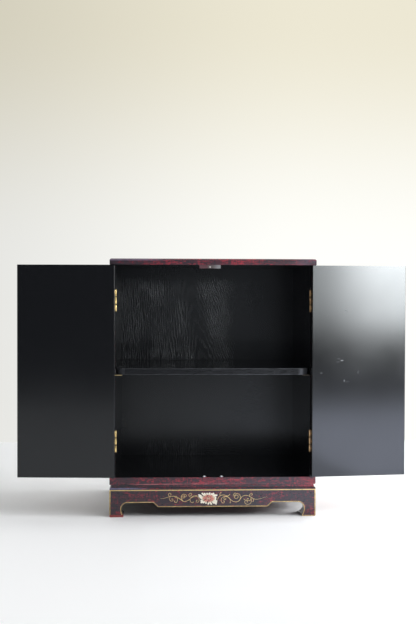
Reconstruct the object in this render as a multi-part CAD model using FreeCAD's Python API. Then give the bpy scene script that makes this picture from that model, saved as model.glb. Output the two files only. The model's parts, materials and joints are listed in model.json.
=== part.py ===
import FreeCAD, Part
import math
import os

# Lacquered two-door cabinet on a low stand with hoof feet.
# Millimetres, +X to the right, +Z up, and the doors are at the front, which faces -Y.
# The origin is on the floor, in the middle of the whole object with its doors open.

V = FreeCAD.Vector
UP = V(0, 0, 1)
REARWARD = V(0, 1, 0)
FORWARD = V(0, -1, 0)

# ---------------------------------------------------------------- driving dimensions
# Case
WIDTH = 610.0            # top board, base board and stand, over all
DEPTH = 406.0            # front of the boards to their back
OPENING_H = 627.0        # inside height, from the base board to the top board
TOP_T = 18.0
BASE_T = 22.0
SIDE_T = 16.0
BACK_T = 6.0
SIDE_SETBACK = 1.5       # the sides stand this far inside the ends of the boards
REBATE = 8.0             # how far the back panel laps over sides and boards
TOP_ROUND = 6.0          # upper edge of the top board
BOARD_ROUND = 2.5        # lower edge of the base board
ARRIS = 1.2              # small rounding of the other long edges

# Shelf
SHELF_T = 19.0
SHELF_UNDER = 301.0      # base board to the underside of the shelf
SHELF_SETBACK = 24.0     # front of the case to the shelf's front edge
SHELF_CORNER_R = 22.0    # the shelf's two front corners, seen from above
SUPPORT_W = 18.0         # the metal strip under each end of the shelf, clear of the side
SUPPORT_LET_IN = 8.0     # and the part of it in its groove in the side
SUPPORT_T = 2.5
SUPPORT_FIT = 0.1        # play of the strip in its groove, above and below
SUPPORT_STOP = 12.0      # the strip ends this far in front of the back panel
SUPPORT_SCREW_ENDS = 40.0

# Cove between the base board and the stand
COVE_H = 9.0
COVE_SETBACK = 5.0
COVE_W = 30.0

# Stand
LEG_CLEAR = 42.0         # floor to the apron, beside the legs
APRON_SIDE = 44.0        # depth of the apron beside the legs
STEP_DROP = 13.0         # the apron is deeper by this in its middle
RAIL_T = 20.0
LEG_W = 34.5             # leg at its narrowest, seen from the front and from the side
ARCH_R = 18.0            # corner between apron and leg
STEP_RUN = 14.0          # sloping step in the apron's lower edge
FRONT_STEP_REACH = 94.5  # leg to step, on the front and back rails
SIDE_STEP_REACH = 60.0   # and on the side rails
LEG_STRAIGHT = 3.0       # upright stretch of the leg between corner and flare
TOE_H = 3.0              # upright edge of the toe
FRONT_TOE = 6.0          # flare of the foot, on the front and back rails
SIDE_TOE = 30.0          # and on the side rails
HOOF_BOW = 0.35          # share of the flare that is reached half way down
FOOT_ROUND = 3.5         # outer bottom corner of a foot
STAND_ROUND = 3.0        # upper outer edge of the stand

# Doors
DOOR_T = 18.0
DOOR_GAP_BELOW = 3.5
DOOR_GAP_ABOVE = 1.5
DOOR_MEETING_GAP = 2.0
LEFT_OPEN_ANGLE = 183.5  # degrees from shut, as the doors stand at rest
RIGHT_OPEN_ANGLE = 186.3

# Butt hinges
HINGE_H = 63.5
HINGE_FROM_END = 104.0   # end of the door to the middle of the hinge
AXIS_OUT = 3.0           # pin axis in front of the door's face
AXIS_TO_SIDE = 0.8       # pin axis to the inside of the case
AXIS_TO_DOOR = 1.2       # pin axis to the edge of the door
KNUCKLE_R = 3.0
KNUCKLE_ROUND = 0.9
KNUCKLE_GAP = 0.4
PIN_R = 1.5
PIN_FIT = 0.05
PIN_TIP_R = 2.7
PIN_TIP_H = 1.6
LEAF_T = 1.5
CASE_LEAF_W = 20.0       # front of the case to the leaf's inner edge
DOOR_LEAF_W = 15.0
LEAF_SCREW_SPACING = 22.0
LEAF_SCREW_STAGGER = 3.0

# Door stop under the top board
STOP_X = -9.5
STOP_W = 63.0
STOP_DROP = 10.0
STOP_T = 1.5
STOP_FOOT = 20.0
STOP_SCREW_SPACING = 40.0
STOP_BEHIND_DOOR = 1.0
STUD_R = 2.6
STUD_H = 0.7
STUD_ROUND = 0.6

# Ball catches in the base board
CATCH_X = 25.5           # middle of the case to each ball
BALL_R = 3.8
BALL_SUNK = 0.7          # ball centre under the base board's top
BALL_FIT = 0.05
BARREL_R = 4.8
BARREL_H = 14.0
BARREL_FLOOR = 1.2
COLLAR_R = 6.2
COLLAR_T = 1.0
SPRING_R = 2.5
SPRING_WIRE_R = 0.35
SPRING_TURNS = 5
STRIKE_W = 24.0
STRIKE_D = 11.0
STRIKE_T = 1.0
DIMPLE_R = 2.6

# Door pulls
PULL_X = 27.0            # middle of the case to the pull
PLATE_W = 30.0
PLATE_H = 74.0
PLATE_T = 1.5
PLATE_CORNER_R = 9.0
POST_R = 5.5
POST_T = 1.5
EAR_T = 1.6
EAR_H = 5.0
EAR_OUT = 8.5
EAR_SPACE = 5.4
PULL_PIN_R = 1.1
PULL_PIN_OUT = 6.0       # pin axis in front of the plate
PULL_PIN_FIT = 0.1
POST_STUD_R = 1.8
POST_STUD_L = 12.0
DROP_EYE_R = 2.4
DROP_EYE_W = 4.8
DROP_L = 40.0
DROP_W = 13.0
DROP_T = 3.2
DROP_NECK_W = 3.2

# Fasteners: head radius, shank radius, length
HINGE_SCREW = (2.7, 1.3, 13.0)
SUPPORT_SCREW = (2.4, 1.3, 14.0)
STOP_SCREW = (2.2, 1.2, 12.0)
STRIKE_SCREW = (1.7, 0.9, 10.0)
BACK_PIN = (1.8, 0.8, 16.0)
STAND_SCREW = (4.2, 2.2, 62.0)
STAND_SCREW_SUNK = 45.0  # floor to the screw's head, up in the leg block
SCREW_FIT = 0.05
SLOT_W = 0.7
SLOT_D = 0.6
DOWEL_R = 4.0
DOWEL_IN_BOARD = 11.0
DOWEL_IN_SIDE = 18.0
DOWEL_FROM_EDGE = 45.0
DOWELS_PER_JOINT = 3
PANEL_FIT = 0.5          # shelf and back panel, all round

# ---------------------------------------------------------------- derived places
HALF_W = WIDTH / 2
STAND_H = LEG_CLEAR + APRON_SIDE
STEP_Z = LEG_CLEAR - STEP_DROP
HOOF_Z = LEG_CLEAR - ARCH_R - LEG_STRAIGHT
SIDE_OUT = HALF_W - SIDE_SETBACK
SIDE_IN = SIDE_OUT - SIDE_T
DOOR_REACH = 2 * AXIS_OUT + DOOR_T
FRONT = -(DEPTH - DOOR_REACH) / 2
BACK = FRONT + DEPTH
BACK_IN = BACK - BACK_T
BASE_Z = STAND_H + COVE_H
FLOOR_Z = BASE_Z + BASE_T
CEILING_Z = FLOOR_Z + OPENING_H
HEIGHT = CEILING_Z + TOP_T
SHELF_Z = FLOOR_Z + SHELF_UNDER
AXIS_X = SIDE_IN - AXIS_TO_SIDE
AXIS_Y = FRONT - AXIS_OUT
DOOR_EDGE = AXIS_X - AXIS_TO_DOOR
DOOR_Z0 = FLOOR_Z + DOOR_GAP_BELOW
DOOR_Z1 = CEILING_Z - DOOR_GAP_ABOVE
DOOR_MID_Y = FRONT + DOOR_T / 2
BALL_Z = FLOOR_Z - BALL_SUNK
SIDES = {"left": -1, "right": 1}
OPEN_ANGLE = {"left": LEFT_OPEN_ANGLE, "right": RIGHT_OPEN_ANGLE}
HINGE_Z = {"upper": DOOR_Z1 - HINGE_FROM_END, "lower": DOOR_Z0 + HINGE_FROM_END}

nodes = {}


# ---------------------------------------------------------------- small helpers
def block(x0, x1, y0, y1, z0, z1):
    """A box between two corners, given in any order."""
    low = V(min(x0, x1), min(y0, y1), min(z0, z1))
    return Part.makeBox(abs(x1 - x0), abs(y1 - y0), abs(z1 - z0), low)


def close(a, b):
    return abs(a - b) < 1e-6


def rounded(shape, radius, wanted):
    """Round the edges whose two ends both satisfy the test."""
    edges = [e for e in shape.Edges if len(e.Vertexes) == 2 and all(wanted(v.Point) for v in e.Vertexes)]
    return shape.makeFillet(radius, edges)


def rounded_rim(shape, radius, y):
    """Round the circular rim that lies in the plane at y."""
    return shape.makeFillet(radius, [e for e in shape.Edges if close(e.CenterOfMass.y, y)])


def prism(points, z0, z1):
    """Upright prism over a polygon given as (x, y) pairs."""
    ring = [V(x, y, z0) for x, y in points]
    return Part.Face(Part.makePolygon(ring + ring[:1])).extrude(V(0, 0, z1 - z0))


def mitred_frame(half_x, y0, y1, width, z0, z1):
    """Four upright prisms that tile a rectangular frame and meet in mitres."""
    outer = [(-half_x, y0), (half_x, y0), (half_x, y1), (-half_x, y1)]
    inner = [(-half_x + width, y0 + width), (half_x - width, y0 + width)]
    inner += [(half_x - width, y1 - width), (-half_x + width, y1 - width)]
    quarters = {}
    for index, name in enumerate(("front", "right", "back", "left")):
        following = (index + 1) % 4
        corners = [outer[index], outer[following], inner[following], inner[index]]
        quarters[name] = prism(corners, z0, z1)
    return quarters


def screw_shape(size, gap):
    """A countersunk screw that points up from its head at the origin; gap widens it into its hole."""
    head_r, shank_r, length = size
    head_h = head_r - shank_r
    tip_h = 2 * shank_r
    outline = [V(0, 0, 0), V(head_r + gap, 0, 0), V(shank_r + gap, 0, head_h)]
    outline += [V(shank_r + gap, 0, length - tip_h), V(0, 0, length + gap), V(0, 0, 0)]
    return Part.Face(Part.makePolygon(outline)).revolve(V(0, 0, 0), UP, 360)


def fasten(group, size, at, into, through):
    """Drive one screw: the head's top is at a point, and its hole is cut in each piece named."""
    place = FreeCAD.Placement(at, FreeCAD.Rotation(UP, into))
    slot = block(-size[0], size[0], -SLOT_W / 2, SLOT_W / 2, 0, SLOT_D)
    screw = screw_shape(size, 0).cut(slot)
    hole = screw_shape(size, SCREW_FIT)
    for shape in (screw, hole):
        shape.Placement = place
    nodes.setdefault(group, []).append(screw)
    for name in through:
        nodes[name] = nodes[name].cut(hole)


# ---------------------------------------------------------------- case
def board(z0, z1, lower_round, upper_round):
    """A full-width board with rounded front and end edges and a square back edge."""
    shape = block(-HALF_W, HALF_W, FRONT, BACK, z0, z1)
    for z, radius in ((z0, lower_round), (z1, upper_round)):
        ends = [e for e in shape.Edges if all(close(v.Z, z) for v in e.Vertexes)]
        outer = [e for e in ends if not all(close(v.Y, BACK) for v in e.Vertexes)]
        shape = shape.makeFillet(radius, outer)
    return shape


def make_case():
    nodes["top_panel"] = board(CEILING_Z, HEIGHT, ARRIS, TOP_ROUND)
    nodes["base_panel"] = board(BASE_Z, FLOOR_Z, BOARD_ROUND, ARRIS)
    lap = SIDE_IN + REBATE
    seat = block(-lap, lap, BACK_IN, BACK, FLOOR_Z - REBATE, CEILING_Z + REBATE)
    for name in ("top_panel", "base_panel"):
        nodes[name] = nodes[name].cut(seat)
    for side, s in SIDES.items():
        panel = block(s * SIDE_IN, s * SIDE_OUT, FRONT, BACK, FLOOR_Z, CEILING_Z)
        nodes[f"{side}_side_panel"] = panel.cut(seat)
    fitted = lap - PANEL_FIT
    low = FLOOR_Z - REBATE + PANEL_FIT
    high = CEILING_Z + REBATE - PANEL_FIT
    nodes["back_panel"] = block(-fitted, fitted, BACK_IN, BACK, low, high)


def make_dowels():
    """Dowels join each side to the boards above and below it."""
    middle = (SIDE_IN + SIDE_OUT) / 2
    first = FRONT + DOWEL_FROM_EDGE
    pitch = (DEPTH - 2 * DOWEL_FROM_EDGE) / (DOWELS_PER_JOINT - 1)
    joints = (("base_panel", FLOOR_Z - DOWEL_IN_BOARD), ("top_panel", CEILING_Z - DOWEL_IN_SIDE))
    dowels = []
    for side, s in SIDES.items():
        for board_name, z0 in joints:
            for index in range(DOWELS_PER_JOINT):
                at = V(s * middle, first + index * pitch, z0)
                length = DOWEL_IN_BOARD + DOWEL_IN_SIDE
                dowels.append(Part.makeCylinder(DOWEL_R, length, at))
                hole = Part.makeCylinder(DOWEL_R + SCREW_FIT, length, at)
                for name in (board_name, f"{side}_side_panel"):
                    nodes[name] = nodes[name].cut(hole)
    nodes["case_dowels"] = dowels


def pin_back_panel():
    """Small pins hold the back panel in its rebate."""
    column = SIDE_IN + REBATE / 2
    rise = OPENING_H / 4
    for side, s in SIDES.items():
        for level in (1, 2, 3):
            at = V(s * column, BACK, FLOOR_Z + level * rise)
            fasten("back_panel_pins", BACK_PIN, at, FORWARD, ["back_panel", f"{side}_side_panel"])
    for name, z in (("base_panel", FLOOR_Z - REBATE / 2), ("top_panel", CEILING_Z + REBATE / 2)):
        for x in (-SIDE_IN / 2, 0, SIDE_IN / 2):
            fasten("back_panel_pins", BACK_PIN, V(x, BACK, z), FORWARD, ["back_panel", name])


def make_shelf():
    """The shelf, and under each end a metal strip that is let into a groove in the side."""
    half = SIDE_IN - PANEL_FIT
    front = FRONT + SHELF_SETBACK
    rear = BACK_IN - PANEL_FIT
    shelf = block(-half, half, front, rear, SHELF_Z, SHELF_Z + SHELF_T)
    corners = [e for e in shelf.Edges if all(close(v.Y, front) and not close(v.X, 0) for v in e.Vertexes)
               and close(e.Vertexes[0].X, e.Vertexes[1].X)]
    shelf = shelf.makeFillet(SHELF_CORNER_R, corners)
    nodes["shelf"] = rounded(shelf, ARRIS, lambda p: p.y < front + SHELF_CORNER_R + ARRIS)
    end = BACK_IN - SUPPORT_STOP
    screw_y = (front + SUPPORT_SCREW_ENDS, (front + end) / 2, end - SUPPORT_SCREW_ENDS)
    for side, s in SIDES.items():
        name = f"{side}_shelf_support"
        panel = f"{side}_side_panel"
        inner = s * (SIDE_IN - SUPPORT_W)
        buried = s * (SIDE_IN + SUPPORT_LET_IN)
        low = SHELF_Z - SUPPORT_T
        nodes[name] = block(inner, buried, front, end, low, SHELF_Z)
        groove = block(s * SIDE_IN, buried, front, end, low - SUPPORT_FIT, SHELF_Z + SUPPORT_FIT)
        nodes[panel] = nodes[panel].cut(groove)
        for y in screw_y:
            at = V(s * (SIDE_IN - SUPPORT_W / 2), y, low)
            fasten("shelf_support_screws", SUPPORT_SCREW, at, UP, [name, "shelf"])


# ---------------------------------------------------------------- stand
def hoof(leg_edge, toe):
    """The flare of a leg's inner edge down to its toe, as an arc in the XZ plane."""
    half_way = V(leg_edge - HOOF_BOW * toe, 0, (HOOF_Z + TOE_H) / 2)
    return Part.Arc(V(leg_edge, 0, HOOF_Z), half_way, V(leg_edge - toe, 0, TOE_H)).toShape()


def line(x0, z0, x1, z1):
    return Part.LineSegment(V(x0, 0, z0), V(x1, 0, z1)).toShape()


def rail(half_length, step_reach, toe):
    """A rail with its two half legs, lying along X with its outer face on the XZ plane."""
    leg = half_length - LEG_W
    step_top = leg - step_reach
    step_low = step_top - STEP_RUN
    turn = ARCH_R * (1 - math.sqrt(0.5))
    arch = Part.Arc(V(leg - ARCH_R, 0, LEG_CLEAR), V(leg - turn, 0, LEG_CLEAR - turn),
                    V(leg, 0, LEG_CLEAR - ARCH_R))
    bend = FOOT_ROUND * (1 - math.sqrt(0.5))
    corner = Part.Arc(V(half_length - FOOT_ROUND, 0, 0), V(half_length - bend, 0, bend),
                      V(half_length, 0, FOOT_ROUND))
    outline = [
        line(0, STAND_H, 0, STEP_Z),
        line(0, STEP_Z, step_low, STEP_Z),
        line(step_low, STEP_Z, step_top, LEG_CLEAR),
        line(step_top, LEG_CLEAR, leg - ARCH_R, LEG_CLEAR),
        arch.toShape(),
        line(leg, LEG_CLEAR - ARCH_R, leg, HOOF_Z),
        hoof(leg, toe),
        line(leg - toe, TOE_H, leg - toe, 0),
        line(leg - toe, 0, half_length - FOOT_ROUND, 0),
        corner.toShape(),
        line(half_length, FOOT_ROUND, half_length, STAND_H),
        line(half_length, STAND_H, 0, STAND_H),
    ]
    half = Part.Face(Part.Wire(outline)).extrude(V(0, RAIL_T, 0))
    half = rounded(half, STAND_ROUND, lambda p: close(p.y, 0) and close(p.z, STAND_H))
    return half.fuse(half.mirror(V(0, 0, 0), V(1, 0, 0))).removeSplitter()


def make_stand():
    front = rail(HALF_W, FRONT_STEP_REACH, FRONT_TOE)
    side = rail(DEPTH / 2, SIDE_STEP_REACH, SIDE_TOE)
    middle = (FRONT + BACK) / 2
    quarters = mitred_frame(HALF_W, FRONT, BACK, RAIL_T, 0, STAND_H)
    places = {"front": (front, 0, V(0, FRONT, 0)), "back": (front, 180, V(0, BACK, 0)),
              "left": (side, -90, V(-HALF_W, middle, 0)), "right": (side, 90, V(HALF_W, middle, 0))}
    for name, (shape, turn, at) in places.items():
        placed = shape.copy()
        placed.Placement = FreeCAD.Placement(at, FreeCAD.Rotation(UP, turn))
        nodes[f"stand_{name}_rail"] = placed.common(quarters[name])


def leg_slab(half_length, toe, reach):
    """The part of a leg inside its rail, drawn on the XZ plane and extruded along +Y."""
    leg = half_length - LEG_W
    inside = half_length - RAIL_T
    outline = [
        line(inside, STAND_H, leg, STAND_H),
        line(leg, STAND_H, leg, HOOF_Z),
        hoof(leg, toe),
        line(leg - toe, TOE_H, leg - toe, 0),
        line(leg - toe, 0, inside, 0),
        line(inside, 0, inside, STAND_H),
    ]
    return Part.Face(Part.Wire(outline)).extrude(V(0, reach, 0))


def make_leg_blocks():
    """A block in each corner of the stand backs the two half legs and carries a screw upwards."""
    middle = (FRONT + BACK) / 2
    by_front = leg_slab(HALF_W, FRONT_TOE, DEPTH)
    by_front.translate(V(0, -DEPTH / 2, 0))
    by_side = leg_slab(DEPTH / 2, SIDE_TOE, WIDTH)
    by_side.translate(V(0, -WIDTH / 2, 0))
    by_side.rotate(V(0, 0, 0), UP, 90)
    rear_right = by_front.common(by_side)
    rear_left = rear_right.mirror(V(0, 0, 0), V(1, 0, 0))
    for side, shape in (("left", rear_left), ("right", rear_right)):
        for end, whole in (("back", shape), ("front", shape.mirror(V(0, 0, 0), V(0, 1, 0)))):
            placed = whole.copy()
            placed.translate(V(0, middle, 0))
            nodes[f"stand_{end}_{side}_leg_block"] = placed


def make_cove():
    """Four mitred strips hold the case clear of the stand and leave a shadow line."""
    half = HALF_W - COVE_SETBACK
    strips = mitred_frame(half, FRONT + COVE_SETBACK, BACK - COVE_SETBACK, COVE_W, STAND_H, BASE_Z)
    for name, strip in strips.items():
        nodes[f"cove_{name}_strip"] = strip


def screw_stand_to_case():
    inset = RAIL_T + (LEG_W - RAIL_T) / 2
    for side, s in SIDES.items():
        for end, y in (("front", FRONT + inset), ("back", BACK - inset)):
            leg = f"stand_{end}_{side}_leg_block"
            at = V(s * (HALF_W - inset), y, STAND_SCREW_SUNK)
            bore = Part.makeCylinder(STAND_SCREW[0] + SCREW_FIT, STAND_SCREW_SUNK, V(at.x, at.y, 0))
            nodes[leg] = nodes[leg].cut(bore)
            through = [leg, f"cove_{end}_strip", f"cove_{side}_strip", "base_panel"]
            fasten("stand_screws", STAND_SCREW, at, UP, through)


# ---------------------------------------------------------------- doors and hinges
def make_door(side, s):
    """One door slab, drawn shut."""
    free_edge = DOOR_MEETING_GAP / 2
    slab = block(s * DOOR_EDGE, s * free_edge, FRONT, FRONT + DOOR_T, DOOR_Z0, DOOR_Z1)
    upright = [e for e in slab.Edges if close(e.Vertexes[0].X, e.Vertexes[1].X)]
    nodes[f"{side}_door_panel"] = slab.makeFillet(ARRIS, upright)


def knuckles(s, mid_z, segments):
    """Knuckles of one leaf: segments are numbered 0 to 2 from below."""
    pitch = HINGE_H / 3
    shape = None
    for number in segments:
        z0 = mid_z - HINGE_H / 2 + number * pitch + KNUCKLE_GAP / 2
        piece = Part.makeCylinder(KNUCKLE_R, pitch - KNUCKLE_GAP, V(s * AXIS_X, AXIS_Y, z0))
        piece = piece.makeFillet(KNUCKLE_ROUND, [e for e in piece.Edges if len(e.Vertexes) == 1])
        shape = piece if shape is None else shape.fuse(piece)
    return shape


def leaf(s, mid_z, face_x, buried_x, width, segments):
    """A leaf that lies in its mortise, with tabs from its plate to its own knuckles."""
    plate_front = AXIS_Y + KNUCKLE_R + KNUCKLE_GAP
    z0 = mid_z - HINGE_H / 2
    plate = block(s * face_x, s * buried_x, plate_front, FRONT + width, z0, z0 + HINGE_H)
    pitch = HINGE_H / 3
    for number in segments:
        low = z0 + number * pitch + KNUCKLE_GAP / 2
        tab = block(s * face_x, s * buried_x, AXIS_Y, plate_front, low, low + pitch - KNUCKLE_GAP)
        plate = plate.fuse(tab)
    shape = plate.fuse(knuckles(s, mid_z, segments)).removeSplitter()
    bore = Part.makeCylinder(PIN_R + PIN_FIT, HINGE_H, V(s * AXIS_X, AXIS_Y, z0))
    return shape.cut(bore)


def hinge_pin(s, mid_z):
    """The pin runs through all the knuckles and ends in a small button above and below."""
    z0 = mid_z - HINGE_H / 2
    pin = Part.makeCylinder(PIN_R, HINGE_H, V(s * AXIS_X, AXIS_Y, z0))
    for z in (z0 - PIN_TIP_H, z0 + HINGE_H):
        tip = Part.makeCylinder(PIN_TIP_R, PIN_TIP_H, V(s * AXIS_X, AXIS_Y, z))
        pin = pin.fuse(tip)
    return pin.removeSplitter()


def make_hinge(side, s, level):
    mid_z = HINGE_Z[level]
    z0 = mid_z - HINGE_H / 2
    panel = f"{side}_side_panel"
    door = f"{side}_door_panel"
    case_leaf = f"{side}_{level}_case_leaf"
    door_leaf = f"{side}_{level}_door_leaf"
    buried_case = SIDE_IN + LEAF_T
    buried_door = DOOR_EDGE - LEAF_T
    nodes[case_leaf] = leaf(s, mid_z, SIDE_IN, buried_case, CASE_LEAF_W, (0, 2))
    nodes[door_leaf] = leaf(s, mid_z, DOOR_EDGE, buried_door, DOOR_LEAF_W, (1,))
    nodes[f"{side}_{level}_hinge_pin"] = hinge_pin(s, mid_z)
    z1 = z0 + HINGE_H
    mortise = block(s * SIDE_IN, s * buried_case, FRONT, FRONT + CASE_LEAF_W, z0, z1)
    nodes[panel] = nodes[panel].cut(mortise)
    mortise = block(s * DOOR_EDGE, s * buried_door, FRONT, FRONT + DOOR_LEAF_W, z0, z1)
    nodes[door] = nodes[door].cut(mortise)
    for step in (-1, 0, 1):
        z = mid_z + step * LEAF_SCREW_SPACING
        stagger = LEAF_SCREW_STAGGER * (1 if step == 0 else -1)
        at = V(s * SIDE_IN, FRONT + CASE_LEAF_W / 2 + stagger, z)
        fasten("case_hinge_screws", HINGE_SCREW, at, V(s, 0, 0), [case_leaf, panel])
        at = V(s * DOOR_EDGE, FRONT + DOOR_LEAF_W / 2 + stagger, z)
        fasten(f"{side}_door_hinge_screws", HINGE_SCREW, at, V(-s, 0, 0), [door_leaf, door])


# ---------------------------------------------------------------- stop and catches
def make_door_stop():
    face = FRONT + DOOR_T + STOP_BEHIND_DOOR
    x0 = STOP_X - STOP_W / 2
    x1 = STOP_X + STOP_W / 2
    flange = block(x0, x1, face, face + STOP_T, CEILING_Z - STOP_DROP, CEILING_Z)
    foot = block(x0, x1, face, face + STOP_FOOT, CEILING_Z - STOP_T, CEILING_Z)
    stud_at = V(STOP_X, face, CEILING_Z - STOP_DROP / 2 - STOP_T / 2)
    stud = Part.makeCylinder(STUD_R, STUD_H, stud_at, FORWARD)
    stud = rounded_rim(stud, STUD_ROUND, face - STUD_H)
    nodes["door_stop"] = flange.fuse(foot).fuse(stud).removeSplitter()
    for step in (-0.5, 0.5):
        at = V(STOP_X + step * STOP_SCREW_SPACING, face + STOP_FOOT / 2, CEILING_Z - STOP_T)
        fasten("door_stop_screws", STOP_SCREW, at, UP, ["door_stop", "top_panel"])


def make_catch(side, s):
    """A spring-loaded ball in a barrel that is let into the base board."""
    centre = V(s * CATCH_X, DOOR_MID_Y, BALL_Z)
    foot = V(centre.x, centre.y, FLOOR_Z - BARREL_H)
    barrel = Part.makeCylinder(BARREL_R, BARREL_H, foot)
    collar = Part.makeCylinder(COLLAR_R, COLLAR_T, V(centre.x, centre.y, FLOOR_Z - COLLAR_T))
    outside = barrel.fuse(collar).removeSplitter()
    nodes["base_panel"] = nodes["base_panel"].cut(outside)
    bore_r = BALL_R + BALL_FIT
    inner_floor = FLOOR_Z - BARREL_H + BARREL_FLOOR
    bore = Part.makeCylinder(bore_r, BALL_Z - inner_floor, V(centre.x, centre.y, inner_floor))
    bore = bore.fuse(Part.makeSphere(bore_r, centre))
    nodes[f"{side}_catch_barrel"] = outside.cut(bore)
    nodes[f"{side}_catch_ball"] = Part.makeSphere(BALL_R, centre)
    # the coil reaches from the barrel's floor to where it meets the underside of the ball
    touch = BALL_Z - math.sqrt((BALL_R + SPRING_WIRE_R + BALL_FIT) ** 2 - SPRING_R ** 2)
    low = inner_floor + SPRING_WIRE_R
    coil = Part.makeHelix((touch - low) / SPRING_TURNS, touch - low, SPRING_R)
    wire = Part.Wire(Part.makeCircle(SPRING_WIRE_R, V(SPRING_R, 0, 0), V(0, 1, 0)))
    spring = Part.Wire(coil).makePipeShell([wire], True, True)
    spring.translate(V(centre.x, centre.y, low))
    nodes[f"{side}_catch_spring"] = spring
    strike = block(centre.x - STRIKE_W / 2, centre.x + STRIKE_W / 2, DOOR_MID_Y - STRIKE_D / 2,
                   DOOR_MID_Y + STRIKE_D / 2, DOOR_Z0, DOOR_Z0 + STRIKE_T)
    door = f"{side}_door_panel"
    nodes[door] = nodes[door].cut(strike)
    dimple = Part.makeCylinder(DIMPLE_R, STRIKE_T, V(centre.x, centre.y, DOOR_Z0))
    plate = f"{side}_catch_strike"
    nodes[plate] = strike.cut(dimple)
    for step in (-1, 1):
        at = V(centre.x + step * (STRIKE_W / 2 + DIMPLE_R) / 2, DOOR_MID_Y, DOOR_Z0)
        fasten(f"{side}_strike_screws", STRIKE_SCREW, at, UP, [plate, door])


# ---------------------------------------------------------------- pulls
def make_pull(side, s):
    """A brass plate, a post with two ears and a cross pin, and the drop that hangs from the pin."""
    x = s * PULL_X
    z = (DOOR_Z0 + DOOR_Z1) / 2
    plate_y = FRONT - PLATE_T
    door = f"{side}_door_panel"
    plate = block(x - PLATE_W / 2, x + PLATE_W / 2, plate_y, FRONT, z - PLATE_H / 2, z + PLATE_H / 2)
    corners = [e for e in plate.Edges if not close(e.Vertexes[0].Y, e.Vertexes[1].Y)]
    plate = plate.makeFillet(PLATE_CORNER_R, corners)
    pin_z = z + PLATE_H / 4
    pin_y = plate_y - PULL_PIN_OUT
    post = Part.makeCylinder(POST_R, POST_T, V(x, plate_y, pin_z), FORWARD)
    for step in (-1, 1):
        inner = x + step * EAR_SPACE / 2
        ear = block(inner, inner + step * EAR_T, plate_y, plate_y - EAR_OUT, pin_z - EAR_H / 2,
                    pin_z + EAR_H / 2)
        post = post.fuse(ear)
    pin = Part.makeCylinder(PULL_PIN_R, EAR_SPACE, V(x - EAR_SPACE / 2, pin_y, pin_z), V(1, 0, 0))
    stud = Part.makeCylinder(POST_STUD_R, PLATE_T + POST_STUD_L, V(x, plate_y, pin_z), REARWARD)
    nodes[f"{side}_pull_post"] = post.fuse(pin).fuse(stud).removeSplitter()
    bore_r = POST_STUD_R + SCREW_FIT
    bore = Part.makeCylinder(bore_r, PLATE_T + POST_STUD_L, V(x, plate_y, pin_z), REARWARD)
    nodes[f"{side}_pull_plate"] = plate.cut(bore)
    nodes[door] = nodes[door].cut(bore)
    nodes[f"{side}_pull_drop"] = pull_drop(x, pin_y, pin_z)


def pull_drop(x, pin_y, pin_z):
    """A flat teardrop on a narrow neck, with an eye for the pin."""
    belly_r = DROP_W / 2
    belly_z = pin_z - DROP_L + belly_r
    neck = DROP_NECK_W / 2
    ring = [V(x - neck, pin_y, pin_z), V(x - neck, pin_y, pin_z - DROP_EYE_R * 2)]
    left = Part.LineSegment(ring[0], ring[1]).toShape()
    flank = Part.LineSegment(ring[1], V(x - belly_r, pin_y, belly_z)).toShape()
    bowl = Part.Arc(V(x - belly_r, pin_y, belly_z), V(x, pin_y, belly_z - belly_r),
                    V(x + belly_r, pin_y, belly_z)).toShape()
    rise = Part.LineSegment(V(x + belly_r, pin_y, belly_z), V(x + neck, pin_y, ring[1].z)).toShape()
    right = Part.LineSegment(V(x + neck, pin_y, ring[1].z), V(x + neck, pin_y, pin_z)).toShape()
    top = Part.LineSegment(V(x + neck, pin_y, pin_z), ring[0]).toShape()
    body = Part.Face(Part.Wire([left, flank, bowl, rise, right, top])).extrude(V(0, DROP_T, 0))
    body.translate(V(0, -DROP_T / 2, 0))
    eye = Part.makeCylinder(DROP_EYE_R, DROP_EYE_W, V(x - DROP_EYE_W / 2, pin_y, pin_z), V(1, 0, 0))
    bore = Part.makeCylinder(PULL_PIN_R + PULL_PIN_FIT, DROP_EYE_W, V(x - DROP_EYE_W / 2, pin_y, pin_z),
                             V(1, 0, 0))
    return body.fuse(eye).cut(bore).removeSplitter()


# ---------------------------------------------------------------- assembly
def swing_open(side, s):
    """Turn everything that is on a door from shut to the angle at which it stands."""
    names = ["door_panel", "door_hinge_screws", "upper_door_leaf", "lower_door_leaf", "catch_strike",
             "strike_screws", "pull_plate", "pull_post", "pull_drop"]
    for name in (f"{side}_{part}" for part in names):
        for shape in nodes[name] if isinstance(nodes[name], list) else [nodes[name]]:
            shape.rotate(V(s * AXIS_X, AXIS_Y, 0), UP, s * OPEN_ANGLE[side])


def main():
    make_case()
    make_dowels()
    pin_back_panel()
    make_shelf()
    make_stand()
    make_leg_blocks()
    make_cove()
    screw_stand_to_case()
    make_door_stop()
    for side, s in SIDES.items():
        make_door(side, s)
        for level in HINGE_Z:
            make_hinge(side, s, level)
        make_catch(side, s)
        make_pull(side, s)
        swing_open(side, s)
    os.makedirs("parts", exist_ok=True)
    for name, made in nodes.items():
        shape = Part.makeCompound(made) if isinstance(made, list) else made
        shape.exportStep(f"parts/{name}.step")
    print(len(nodes), "nodes", "height", HEIGHT)


if __name__ == "__main__":
    main()
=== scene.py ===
"""Finishes, gilding, flower work and stage for a lacquered cabinet on its stand."""

import json
import math

import bpy
from mathutils import Matrix, Vector


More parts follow.
